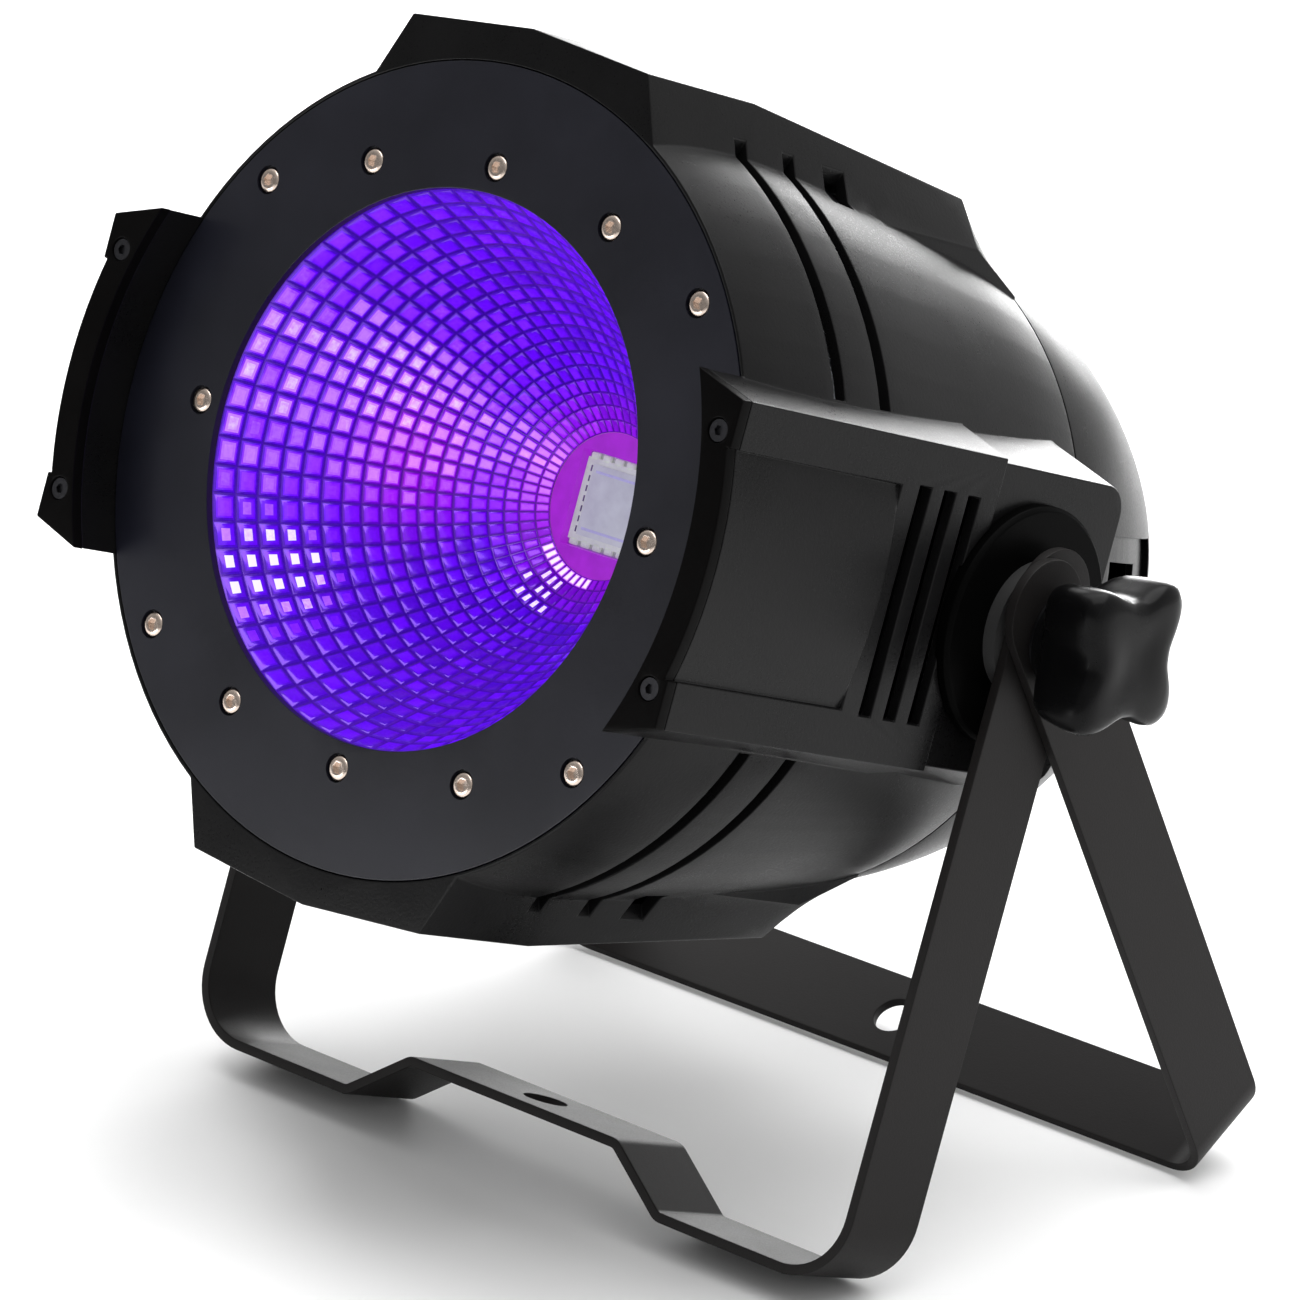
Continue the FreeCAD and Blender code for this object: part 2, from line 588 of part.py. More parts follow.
def bezel_screw_places():
    """X and Z of the twelve bezel screws."""
    places = [polar(BEZEL_RADIUS - OUTER_SCREW_EDGE, angle) for angle in OUTER_SCREW_ANGLES]
    places += [polar(APERTURE_RADIUS + SIDE_SCREW_EDGE, angle) for angle in SIDE_SCREW_ANGLES]
    places += [polar(APERTURE_RADIUS + AXIS_SCREW_EDGE, angle) for angle in AXIS_SCREW_ANGLES]
    return places


def plate_screw_places():
    """X and Z of the four pod plate screws, between the plate's arc and its side."""
    arc_x = math.sqrt(BEZEL_RADIUS ** 2 - PLATE_SCREW_HEIGHT ** 2)
    x = (arc_x + POD_HALF_WIDTH) / 2
    return [(sx * x, sz * PLATE_SCREW_HEIGHT) for sx, sz in CORNERS]


def front_housing():
    """Front casting with its web, ledge, bosses, vents and threaded holes."""
    pivot_bosses = [on_side(cylinder_x(PIVOT_BOSS_RADIUS, PIVOT_BOSS_INNER_X,
                                       POD_REAR_HALF_WIDTH), sign) for _, sign in SIDES]
    shell = cut_all(housing_outer().cut(cavity()), front_vents())
    shell = fuse_all([shell] + housing_lugs() + pivot_bosses)
    bowl_room = APERTURE_RADIUS + REFLECTOR_LIP + REFLECTOR_WALL + SEAT_GAP
    cuts = [cylinder_y(REFLECTOR_FLANGE_RADIUS + SEAT_GAP, -OVERRUN,
                       BEZEL_THICKNESS + REFLECTOR_WALL),
            cylinder_y(BEZEL_RADIUS + SEAT_GAP, -OVERRUN, BEZEL_THICKNESS),
            cylinder_y(bowl_room, -OVERRUN, BEZEL_THICKNESS + WEB_THICKNESS + OVERRUN)]
    cuts += [cylinder_y(BEZEL_SCREW_RADIUS, 0, BEZEL_SCREW_LENGTH + OVERRUN, x, z)
             for x, z in bezel_screw_places()]
    cuts += holes_on_circle(SINK_SCREW_RADIUS, SINK_SCREW_PLACE, DIAGONALS,
                            SINK_FACE_Y - SINK_LEDGE_DEPTH - OVERRUN, SINK_FACE_Y + OVERRUN)
    cuts += holes_on_circle(SINK_SCREW_RADIUS, CHASSIS_SCREW_PLACE, DIAGONALS,
                            CHASSIS_Y - CHASSIS_SCREW_LENGTH - OVERRUN, CHASSIS_Y + OVERRUN)
    for _, sign in SIDES:
        cuts.append(on_side(cylinder_x(INSERT_RADIUS, PIVOT_BOSS_INNER_X - OVERRUN,
                                       POD_REAR_HALF_WIDTH + OVERRUN), sign))
        cuts.append(on_side(cylinder_x(PIVOT_DISC_RADIUS + SEAT_GAP, POD_REAR_HALF_WIDTH,
                                       POD_HALF_WIDTH + OVERRUN), sign))
    cuts += [cylinder_y(PLATE_SCREW_RADIUS, -POD_FRONT, PLATE_SCREW_LENGTH - POD_FRONT + OVERRUN,
                        x, z) for x, z in plate_screw_places()]
    for angle in SEAM_SCREW_ANGLES:
        cuts.append(radial_cylinder(SEAM_SCREW_RADIUS + SCREW_CLEARANCE, SEAM_RADIUS / 2,
                                    BEZEL_RADIUS, SEAM_SCREW_Y, angle))
        cuts.append(radial_cylinder(SEAM_HEAD_RADIUS + SCREW_CLEARANCE,
                                    SEAM_RADIUS - SEAM_HEAD_SINK, SKIN_FRONT_RADIUS,
                                    SEAM_SCREW_Y, angle))
    return cut_all(shell, cuts)


# ---- the rear casting --------------------------------------------------------------
def rear_solid(inset):
    """Solid inside the rear casting's rounded skin, an arc from the seam to the rear face."""
    start = (SEAM_RADIUS - inset, SEAM_Y + SEAT_GAP)
    end = (REAR_FACE_RADIUS - inset, REAR_FACE_Y - inset)
    run = end[1] - start[1]
    fall = start[0] - end[0]
    chord = math.hypot(run, fall)
    middle = ((start[0] + end[0]) / 2 + REAR_BULGE * run / chord,
              (start[1] + end[1]) / 2 + REAR_BULGE * fall / chord)
    skin = Part.Arc(*[Vec(x, y, 0) for x, y in (start, middle, end)]).toShape()
    return revolve_profile([skin] + polyline([end, (0, end[1]), (0, start[1]), start]))


def rear_cover():
    """Rear casting: rounded shell with a spigot, side vents and the panel seat."""
    recess_start = SEAM_Y + REAR_RECESS_START
    side_zone = block((PANEL_OPENING_RADIUS, BEZEL_RADIUS),
                      (recess_start, REAR_FACE_Y - REAR_RECESS_END),
                      (-REAR_RECESS_HALF_HEIGHT, REAR_RECESS_HALF_HEIGHT))
    whole = rear_solid(0.0)
    recess = whole.cut(rear_solid(REAR_RECESS_DEPTH)).common(side_zone)
    outer = cut_all(whole, [recess, mirror_x(recess)])
    spigot_radius = SEAM_RADIUS - WALL - SEAT_GAP
    spigot_end = SEAM_Y + SEAT_GAP + SPIGOT_ROOT
    spigot = cylinder_y(spigot_radius, SEAM_Y - SPIGOT_LENGTH, spigot_end).cut(
        cylinder_y(spigot_radius - SPIGOT_WALL, SEAM_Y - SPIGOT_LENGTH - OVERRUN,
                   spigot_end + OVERRUN))
    seat = cylinder_y(REAR_FACE_RADIUS, PANEL_INNER_Y - WALL, REAR_FACE_Y).common(outer)
    shell = fuse_all([outer.cut(rear_solid(WALL)), spigot, seat])
    seat_low = PANEL_INNER_Y - WALL - OVERRUN
    cuts = [cylinder_y(PANEL_PLATE_RADIUS + SEAT_GAP, PANEL_INNER_Y, REAR_FACE_Y + OVERRUN),
            cylinder_y(PANEL_OPENING_RADIUS, seat_low, REAR_FACE_Y + OVERRUN)]
    cuts += holes_on_circle(PANEL_SCREW_RADIUS, PANEL_SCREW_PLACE, DIAGONALS, seat_low,
                            PANEL_INNER_Y + OVERRUN)
    slot_start = recess_start + REAR_VENT_MARGIN
    for z in REAR_VENT_PLACES:
        vent = block((PANEL_OPENING_RADIUS, BEZEL_RADIUS),
                     (slot_start, slot_start + REAR_VENT_LENGTH),
                     (z - REAR_VENT_HEIGHT / 2, z + REAR_VENT_HEIGHT / 2))
        cuts += [vent, mirror_x(vent)]
    cuts += [radial_cylinder(SEAM_SCREW_RADIUS, SEAM_RADIUS / 2, BEZEL_RADIUS, SEAM_SCREW_Y,
                             angle) for angle in SEAM_SCREW_ANGLES]
    return cut_all(shell, cuts)


def seam_screws():
    """Four radial screws that hold the rear casting's spigot in the front casting."""
    seat = SEAM_RADIUS - SEAM_HEAD_SINK
    tip = SEAM_RADIUS - WALL - SPIGOT_WALL - OVERRUN
    screws = []
    for angle in SEAM_SCREW_ANGLES:
        shank = radial_cylinder(SEAM_SCREW_RADIUS, tip, seat + SEAM_HEAD_DEPTH / 2,
                                SEAM_SCREW_Y, angle)
        head = radial_cylinder(SEAM_HEAD_RADIUS, seat, seat + SEAM_HEAD_DEPTH,
                               SEAM_SCREW_Y, angle)
        screws.append(fuse_all([shank, head]))
    return screws


# ---- screws along the optical axis -------------------------------------------------
def hexagon(radius, x, z):
    """Corners of a hexagon about a point, (x, z)."""
    return [(x + radius * math.cos(math.radians(60 * k)),
             z + radius * math.sin(math.radians(60 * k))) for k in range(6)]


def forward_screw(head_radius, head_depth, radius, length, y_face, x, z, socket):
    """Cap screw driven backwards from its head's face, with a hexagon socket."""
    head = cylinder_y(head_radius, y_face, y_face + head_depth, x, z)
    shank = cylinder_y(radius, y_face + head_depth / 2, y_face + length, x, z)
    corners = hexagon(socket / math.cos(math.radians(30)), x, z)
    return fuse_all([head, shank]).cut(
        prism(corners, y_face - OVERRUN, y_face + head_depth * SOCKET_DEPTH))


def backward_screw(head_radius, head_depth, radius, length, y_seat, x, z):
    """Cap screw driven forwards from behind, with its head on a seat."""
    head = cylinder_y(head_radius, y_seat, y_seat + head_depth, x, z)
    shank = cylinder_y(radius, y_seat - length, y_seat + head_depth / 4, x, z)
    socket = cylinder_y(head_radius * SOCKET_SHARE, y_seat + head_depth * (1 - SOCKET_DEPTH),
                        y_seat + head_depth + OVERRUN, x, z)
    return fuse_all([head, shank]).cut(socket)


def screws_on_circle(head_radius, radius, length, y_seat, place, angles):
    """Several backward screws on a circle."""
    return [backward_screw(head_radius, SCREW_HEAD_DEPTH, radius, length, y_seat,
                           *polar(place, angle)) for angle in angles]


# ---- front face --------------------------------------------------------------------
def bezel_ring():
    """Flat ring with recesses for its screws' heads."""
    ring = cylinder_y(BEZEL_RADIUS, 0, BEZEL_THICKNESS)
    cuts = [cylinder_y(APERTURE_RADIUS, -OVERRUN, BEZEL_THICKNESS + OVERRUN)]
    for x, z in bezel_screw_places():
        cuts.append(cylinder_y(BEZEL_SCREW_RADIUS + SCREW_CLEARANCE, -OVERRUN,
                               BEZEL_THICKNESS + OVERRUN, x, z))
        cuts.append(cylinder_y(BEZEL_HEAD_RADIUS + SCREW_CLEARANCE, -OVERRUN,
                               BEZEL_HEAD_DEPTH, x, z))
    return cut_all(ring, cuts)


def bezel_screws():
    """Twelve screws in the bezel."""
    return [forward_screw(BEZEL_HEAD_RADIUS, BEZEL_HEAD_DEPTH, BEZEL_SCREW_RADIUS,
                          BEZEL_SCREW_LENGTH, 0.0, x, z, BEZEL_SCREW_SOCKET)
            for x, z in bezel_screw_places()]


def reflector():
    """Parabolic bowl with a flange clamped behind the bezel."""
    front_y = BEZEL_THICKNESS
    flange_y = front_y + REFLECTOR_WALL
    mouth = APERTURE_RADIUS + REFLECTOR_LIP
    depth = REFLECTOR_NECK_Y - front_y
    slope = (mouth ** 2 - REFLECTOR_NECK_RADIUS ** 2) / depth
    inner = []
    for step in range(7):
        reach = depth * step / 6
        inner.append((math.sqrt(mouth ** 2 - slope * reach), front_y + reach))
    outer = [(radius + REFLECTOR_WALL, y) for radius, y in inner]
    bowl = revolve_profile([curve(inner), curve(outer)] + polyline([inner[0], outer[0]])
                           + polyline([inner[-1], outer[-1]]))
    flange = cylinder_y(REFLECTOR_FLANGE_RADIUS, front_y, flange_y).cut(
        cylinder_y(mouth + REFLECTOR_WALL / 2, front_y - OVERRUN, flange_y + OVERRUN))
    holes = [cylinder_y(BEZEL_SCREW_RADIUS + SCREW_CLEARANCE, front_y - OVERRUN,
                        flange_y + OVERRUN, x, z) for x, z in bezel_screw_places()
             if math.hypot(x, z) < REFLECTOR_FLANGE_RADIUS]
    return cut_all(fuse_all([bowl, flange]), holes)


def pod_plate():
    """Right pod's front plate, with its arc, corner tabs and screw recesses."""
    front = -POD_FRONT
    back = POD_PLATE_THICKNESS - POD_FRONT
    plate = prism(pod_outline(0.0), front, back)
    bow = cylinder_y(PANEL_RADIUS, front, back).common(panel_zone(front, back))
    plate = fuse_all([plate.cut(panel_zone(front - OVERRUN, back + OVERRUN)), bow])
    cuts = [cylinder_y(BEZEL_RADIUS, front - OVERRUN, back + OVERRUN)]
    for x, z in plate_screw_places():
        cuts.append(cylinder_y(PLATE_SCREW_RADIUS + SCREW_CLEARANCE, front - OVERRUN,
                               back + OVERRUN, x, z))
        cuts.append(cylinder_y(PLATE_HEAD_RADIUS + SCREW_CLEARANCE, front - OVERRUN,
                               front + PLATE_HEAD_SINK + PLATE_HEAD_DEPTH, x, z))
    return cut_all(plate, cuts)


def pod_plate_screws():
    """Four dark screws sunk in the pod plates."""
    return [forward_screw(PLATE_HEAD_RADIUS, PLATE_HEAD_DEPTH, PLATE_SCREW_RADIUS,
                          PLATE_SCREW_LENGTH, PLATE_HEAD_SINK - POD_FRONT, x, z,
                          PLATE_HEAD_RADIUS * SOCKET_SHARE) for x, z in plate_screw_places()]


# ---- emitter, heatsink and fan -----------------------------------------------------
def cob_board():
    """Ceramic board of the light source, on the heatsink."""
    centre = (0, SINK_FACE_Y - CHIP_THICKNESS / 2, 0)
    return centred_block((CHIP_SIDE, CHIP_THICKNESS, CHIP_SIDE), centre)


def cob_emitter():
    """Phosphor field on the board."""
    centre = (0, SINK_FACE_Y - CHIP_THICKNESS - EMITTER_THICKNESS / 2, 0)
    return centred_block((EMITTER_SIDE, EMITTER_THICKNESS, EMITTER_SIDE), centre)


def cob_holder():
    """Clamp ring round the board."""
    front = SINK_FACE_Y - HOLDER_THICKNESS
    window_side = CHIP_SIDE + 2 * SEAT_GAP
    cuts = [block((-window_side / 2, window_side / 2), (front - OVERRUN, SINK_FACE_Y + OVERRUN),
                  (-window_side / 2, window_side / 2))]
    for _, sign in SIDES:
        x = sign * HOLDER_SCREW_PLACE
        cuts.append(cylinder_y(HOLDER_SCREW_RADIUS + SCREW_CLEARANCE, front - OVERRUN,
                               SINK_FACE_Y + OVERRUN, x))
        cuts.append(cylinder_y(HOLDER_HEAD_RADIUS + SCREW_CLEARANCE, front - OVERRUN,
                               front + HOLDER_HEAD_DEPTH, x))
    return cut_all(cylinder_y(HOLDER_RADIUS, front, SINK_FACE_Y), cuts)


def cob_screws():
    """Two screws that clamp the holder."""
    front = SINK_FACE_Y - HOLDER_THICKNESS
    return [forward_screw(HOLDER_HEAD_RADIUS, HOLDER_HEAD_DEPTH, HOLDER_SCREW_RADIUS,
                          HOLDER_SCREW_LENGTH, front, sign * HOLDER_SCREW_PLACE, 0,
                          HOLDER_HEAD_RADIUS * SOCKET_SHARE) for _, sign in SIDES]


def fan_screw_places():
    """X and Z of the fan's corner screws."""
    return [(sx * FAN_SCREW_SPACING / 2, sz * FAN_SCREW_SPACING / 2) for sx, sz in CORNERS]


def heatsink():
    """Round base with straight fins towards the fan, and pillars for the fan's screws."""
    base = cylinder_y(SINK_BASE_RADIUS, SINK_FACE_Y, FIN_START_Y)
    root = FIN_START_Y - OVERRUN
    count = int(SINK_FIN_RADIUS / SINK_FIN_PITCH)
    fins = []
    for index in range(-count, count + 1):
        x = index * SINK_FIN_PITCH
        edge = abs(x) + SINK_FIN_THICKNESS / 2
        half = math.sqrt(max(SINK_FIN_RADIUS ** 2 - edge ** 2, 0.0))
        if half > SINK_SHORTEST_FIN:
            fins.append(block((x - SINK_FIN_THICKNESS / 2, x + SINK_FIN_THICKNESS / 2),
                              (root, FAN_FACE_Y), (-half, half)))
    pillars = [cylinder_y(FAN_SCREW_RADIUS + FAN_PILLAR_WALL, root, FAN_FACE_Y, x, z)
               for x, z in fan_screw_places()]
    holes = holes_on_circle(SINK_SCREW_RADIUS + SCREW_CLEARANCE, SINK_SCREW_PLACE, DIAGONALS,
                            SINK_FACE_Y - OVERRUN, FIN_START_Y + OVERRUN)
    holes += [cylinder_y(HOLDER_SCREW_RADIUS, SINK_FACE_Y - OVERRUN,
                         SINK_FACE_Y - HOLDER_THICKNESS + HOLDER_SCREW_LENGTH + OVERRUN,
                         sign * HOLDER_SCREW_PLACE) for _, sign in SIDES]
    holes += [cylinder_y(FAN_SCREW_RADIUS, FAN_FACE_Y - FAN_SCREW_GRIP - OVERRUN,
                         FAN_FACE_Y + OVERRUN, x, z) for x, z in fan_screw_places()]
    return cut_all(fuse_all([base] + fins + pillars), holes)


def heatsink_screws():
    """Four screws through the heatsink's base into the housing's ledge."""
    return screws_on_circle(SINK_HEAD_RADIUS, SINK_SCREW_RADIUS,
                            SINK_BASE_THICKNESS + SINK_SCREW_GRIP, FIN_START_Y,
                            SINK_SCREW_PLACE, DIAGONALS)


def fan_frame():
    """Square fan frame with its duct, struts and motor base."""
    base_front = FAN_REAR_Y - FAN_BASE_DEPTH
    half = FAN_SIDE / 2
    frame = block((-half, half), (FAN_FACE_Y, FAN_REAR_Y), (-half, half))
    frame = frame.cut(cylinder_y(FAN_DUCT_RADIUS, FAN_FACE_Y - OVERRUN, FAN_REAR_Y + OVERRUN))
    base = cylinder_y(FAN_HUB_RADIUS, base_front, FAN_REAR_Y)
    struts = [radial_block(FAN_HUB_RADIUS - OVERRUN, FAN_DUCT_RADIUS + OVERRUN,
                           FAN_STRUT_WIDTH, base_front, FAN_REAR_Y, angle)
              for angle in (30, 120, 210, 300)]
    holes = [cylinder_y(FAN_SCREW_RADIUS + SCREW_CLEARANCE, FAN_FACE_Y - OVERRUN,
                        FAN_REAR_Y + OVERRUN, x, z) for x, z in fan_screw_places()]
    holes.append(cylinder_y(FAN_SHAFT_RADIUS + RUN_FIT, base_front - OVERRUN,
                            base_front + FAN_SHAFT_GRIP + SEAT_GAP))
    return cut_all(fuse_all([frame, base] + struts), holes)


def fan_rotor():
    """Hub with its shaft and pitched blades."""
    front = FAN_FACE_Y + FAN_BLADE_GAP
    base_front = FAN_REAR_Y - FAN_BASE_DEPTH
    hub_rear = base_front - FAN_BASE_GAP
    hub = cylinder_y(FAN_HUB_RADIUS, front, hub_rear)
    shaft = cylinder_y(FAN_SHAFT_RADIUS, hub_rear - OVERRUN, base_front + FAN_SHAFT_GRIP)
    tip = FAN_DUCT_RADIUS - FAN_BLADE_GAP
    sweep = cylinder_y(tip, front, hub_rear)
    half = FAN_BLADE_THICKNESS / 2
    blades = []
    for index in range(FAN_BLADES):
        blade = block((-half, half), (-FAN_DEPTH, FAN_DEPTH), (FAN_HUB_RADIUS - OVERRUN, tip * 2))
        blade.rotate(Vec(0, 0, 0), Z_AXIS, FAN_BLADE_PITCH)
        blade.translate(Vec(0, (front + hub_rear) / 2, 0))
        blade.rotate(Vec(0, 0, 0), Y_AXIS, 360.0 * index / FAN_BLADES)
        blades.append(blade.common(sweep))
    return fuse_all([hub, shaft] + blades)


def fan_screws():
    """Four screws through the fan's corners."""
    return [backward_screw(FAN_HEAD_RADIUS, SCREW_HEAD_DEPTH, FAN_SCREW_RADIUS,
                           FAN_DEPTH + FAN_SCREW_GRIP, FAN_REAR_Y, x, z)
            for x, z in fan_screw_places()]


# ---- electronics -------------------------------------------------------------------
def driver_screw_places():
    """X and Z of the screws in the driver's feet."""
    x = (DRIVER_WIDTH + DRIVER_FOOT) / 2
    return [(-x, DRIVER_CENTRE_Z), (x, DRIVER_CENTRE_Z)]


def chassis_plate():
    """Plate across the head behind the fan, with an air opening."""
    low = CHASSIS_Y - OVERRUN
    high = CHASSIS_REAR_Y + OVERRUN
    cuts = [cylinder_y(CHASSIS_AIR_RADIUS, low, high),
            block((-HALF_ROOM, HALF_ROOM), (low, high), (CHASSIS_FLAT_Z, HALF_ROOM))]
    cuts += holes_on_circle(SINK_SCREW_RADIUS + SCREW_CLEARANCE, CHASSIS_SCREW_PLACE,
                            DIAGONALS, low, high)
    cuts += [cylinder_y(DRIVER_SCREW_RADIUS, low, high, x, z) for x, z in driver_screw_places()]
    return cut_all(cylinder_y(CHASSIS_RADIUS, CHASSIS_Y, CHASSIS_REAR_Y), cuts)


def chassis_screws():
    """Four screws through the chassis plate into its lugs."""
    return screws_on_circle(SINK_HEAD_RADIUS, SINK_SCREW_RADIUS, CHASSIS_SCREW_LENGTH,
                            CHASSIS_REAR_Y, CHASSIS_SCREW_PLACE, DIAGONALS)


def driver():
    """Power supply in a ribbed case with two feet."""
    rear = CHASSIS_REAR_Y + DRIVER_DEPTH
    case = centred_block((DRIVER_WIDTH, DRIVER_DEPTH, DRIVER_HEIGHT),
                         (0, rear - DRIVER_DEPTH / 2, DRIVER_CENTRE_Z))
    foot_end = DRIVER_WIDTH / 2 + DRIVER_FOOT
    feet = block((-foot_end, foot_end), (CHASSIS_REAR_Y, CHASSIS_REAR_Y + DRIVER_FOOT_THICKNESS),
                 (DRIVER_CENTRE_Z - DRIVER_FOOT / 2, DRIVER_CENTRE_Z + DRIVER_FOOT / 2))
    half_count = int(DRIVER_WIDTH / 2 / DRIVER_GROOVE_PITCH)
    cuts = [centred_block((*DRIVER_GROOVE, DRIVER_HEIGHT + OVERRUN),
                          (index * DRIVER_GROOVE_PITCH, rear, DRIVER_CENTRE_Z))
            for index in range(-half_count, half_count + 1)]
    cuts += [cylinder_y(DRIVER_SCREW_RADIUS + SCREW_CLEARANCE, CHASSIS_REAR_Y - OVERRUN,
                        CHASSIS_REAR_Y + DRIVER_FOOT_THICKNESS + OVERRUN, x, z)
             for x, z in driver_screw_places()]
    return cut_all(fuse_all([case, feet]), cuts)


def driver_screws():
    """Two screws in the driver's feet."""
    return [backward_screw(DRIVER_HEAD_RADIUS, DRIVER_HEAD_DEPTH, DRIVER_SCREW_RADIUS,
                           DRIVER_SCREW_LENGTH, CHASSIS_REAR_Y + DRIVER_FOOT_THICKNESS, x, z)
            for x, z in driver_screw_places()]


def spacer_places():
    """X and Z of the control board's spacers."""
    x = BOARD_SIZE[0] / 2 - BOARD_STANDOFF_EDGE
    z = BOARD_SIZE[2] / 2 - BOARD_STANDOFF_EDGE
    return [(sx * x, BOARD_CENTRE_Z + sz * z) for sx, sz in CORNERS]


def control_board():
    """Control board with its processor, relay and four push switches."""
    board = centred_block(BOARD_SIZE, (0, BOARD_Y + BOARD_SIZE[1] / 2, BOARD_CENTRE_Z))
    face = BOARD_Y + BOARD_SIZE[1]
    switches = [centred_block(SWITCH_SIZE, (x, face + SWITCH_SIZE[1] / 2, BUTTON_Z))
                for x in BUTTON_PLACES]
    quarter = BOARD_SIZE[0] / 5
    chips = [centred_block(size, (x, BOARD_Y - size[1] / 2, BOARD_CENTRE_Z))
             for size, x in ((PROCESSOR_SIZE, -quarter), (RELAY_SIZE, quarter))]
    return fuse_all([board] + switches + chips)


def board_spacers():
    """Four spacers between the board and the rear panel."""
    return [cylinder_y(BOARD_STANDOFF_RADIUS, BOARD_Y + BOARD_SIZE[1], PANEL_INNER_Y, x, z)
            for x, z in spacer_places()]


def edges_along_y(shape):
    """Straight edges of a block that run along the optical axis."""
    return [edge for edge in shape.Edges if abs(edge.tangentAt(edge.FirstParameter).y) > 0.9]


def display_module():
    """Display: a body behind the panel and a window that stands a little proud."""
    width, height = DISPLAY_SIZE
    body = centred_block((width + 2 * DISPLAY_CORNER, DISPLAY_DEPTH, height + 2 * DISPLAY_CORNER),
                         (0, PANEL_INNER_Y - DISPLAY_DEPTH / 2, DISPLAY_CENTRE_Z))
    window = block((-width / 2, width / 2), (PANEL_INNER_Y, REAR_FACE_Y + DISPLAY_PROUD),
                   (DISPLAY_CENTRE_Z - height / 2, DISPLAY_CENTRE_Z + height / 2))
    return fuse_all([body, window.makeFillet(DISPLAY_CORNER, edges_along_y(window))])


def button(x):
    """Push button with a collar behind the panel."""
    cap = cylinder_y(BUTTON_RADIUS, PANEL_INNER_Y - BUTTON_STEM, REAR_FACE_Y + BUTTON_PROUD,
                     x, BUTTON_Z)
    rim = [edge for edge in cap.Edges if edge.CenterOfMass.y > REAR_FACE_Y]
    cap = cap.makeFillet(BUTTON_FILLET, rim[:1])
    collar_end = PANEL_INNER_Y - FACE_PLAY
    collar = cylinder_y(BUTTON_RADIUS + BUTTON_COLLAR, collar_end - BUTTON_COLLAR_DEPTH,
                        collar_end, x, BUTTON_Z)
    return fuse_all([cap, collar])


# ---- sockets -----------------------------------------------------------------------
def socket_places():
    """X of the four sockets: data in, data out, power in, power out."""
    return [SOCKET_PITCH * (index - 1.5) for index in range(4)]


def socket_screw_places(x):
    """X and Z of the two screws in a socket's flange."""
    return [(x + sign * SOCKET_SCREW[0], SOCKET_Z + sign * SOCKET_SCREW[1])
            for _, sign in SIDES]


def round_socket_part(radius, y_start, y_end, x, circle, angle):
    """Pin or hole on a circle about a socket's centre."""
    turn = math.radians(angle)
    return cylinder_y(radius, y_start, y_end, x + circle * math.cos(turn),
                      SOCKET_Z + circle * math.sin(turn))


def socket_shell(x):
    """Square-flanged chassis socket with an open round mouth."""
    width, thickness, height = SOCKET_FLANGE
    flange = centred_block(SOCKET_FLANGE, (x, REAR_FACE_Y + thickness / 2, SOCKET_Z))
    flange = flange.makeFillet(SOCKET_CORNER, edges_along_y(flange))
    body = cylinder_y(SOCKET_BODY_RADIUS, REAR_FACE_Y - SOCKET_BODY_DEPTH, SOCKET_OUTER_Y,
                      x, SOCKET_Z)
    cuts = [cylinder_y(SOCKET_MOUTH_RADIUS, SOCKET_FLOOR_Y, SOCKET_OUTER_Y + OVERRUN,
                       x, SOCKET_Z)]
    cuts += [cylinder_y(SOCKET_SCREW_RADIUS + SCREW_CLEARANCE, REAR_FACE_Y - OVERRUN,
                        SOCKET_OUTER_Y + OVERRUN, hole_x, hole_z)
             for hole_x, hole_z in socket_screw_places(x)]
    return cut_all(fuse_all([flange, body]), cuts)


def data_in_socket():
    """Three-pin data inlet."""
    x = socket_places()[0]
    pins = [round_socket_part(PIN_RADIUS, SOCKET_FLOOR_Y - OVERRUN, SOCKET_FLOOR_Y + PIN_LENGTH,
                              x, PIN_CIRCLE, angle) for angle in (90, 210, 330)]
    return fuse_all([socket_shell(x)] + pins)


def data_out_socket():
    """Three-hole data outlet with the slot for its latch."""
    x = socket_places()[1]
    core = cylinder_y(SOCKET_MOUTH_RADIUS - OUTLET_CORE_GAP, SOCKET_FLOOR_Y - OVERRUN,
                      SOCKET_OUTER_Y - SEAT_GAP, x, SOCKET_Z)
    cuts = [round_socket_part(PIN_RADIUS + PIN_HOLE_CLEARANCE,
                              SOCKET_OUTER_Y - PIN_LENGTH - OVERRUN, SOCKET_OUTER_Y + OVERRUN,
                              x, PIN_CIRCLE, angle) for angle in (30, 150, 270)]
    half_width = LATCH_SIZE[0] / 2 + LATCH_CLEARANCE
    half_height = LATCH_SIZE[2] / 2 + LATCH_CLEARANCE
    slot_floor = SOCKET_OUTER_Y - LATCH_SIZE[1] - LATCH_TRAVEL - OVERRUN
    cuts.append(block((x - half_width, x + half_width), (slot_floor, SOCKET_OUTER_Y + OVERRUN),
                      (LATCH_Z - half_height, LATCH_Z + half_height)))
    return cut_all(fuse_all([socket_shell(x), core]), cuts)


def data_out_latch():
    """Push tab that frees the plug from the data outlet."""
    x = socket_places()[1]
    end = SOCKET_OUTER_Y + LATCH_PROUD
    tab = block((x - LATCH_SIZE[0] / 2, x + LATCH_SIZE[0] / 2),
                (SOCKET_OUTER_Y - LATCH_SIZE[1], end),
                (LATCH_Z - LATCH_SIZE[2] / 2, LATCH_Z + LATCH_SIZE[2] / 2))
    edges = [edge for edge in tab.Edges if edge.CenterOfMass.y > end - 0.01]
    return tab.makeFillet(LATCH_FILLET, edges)


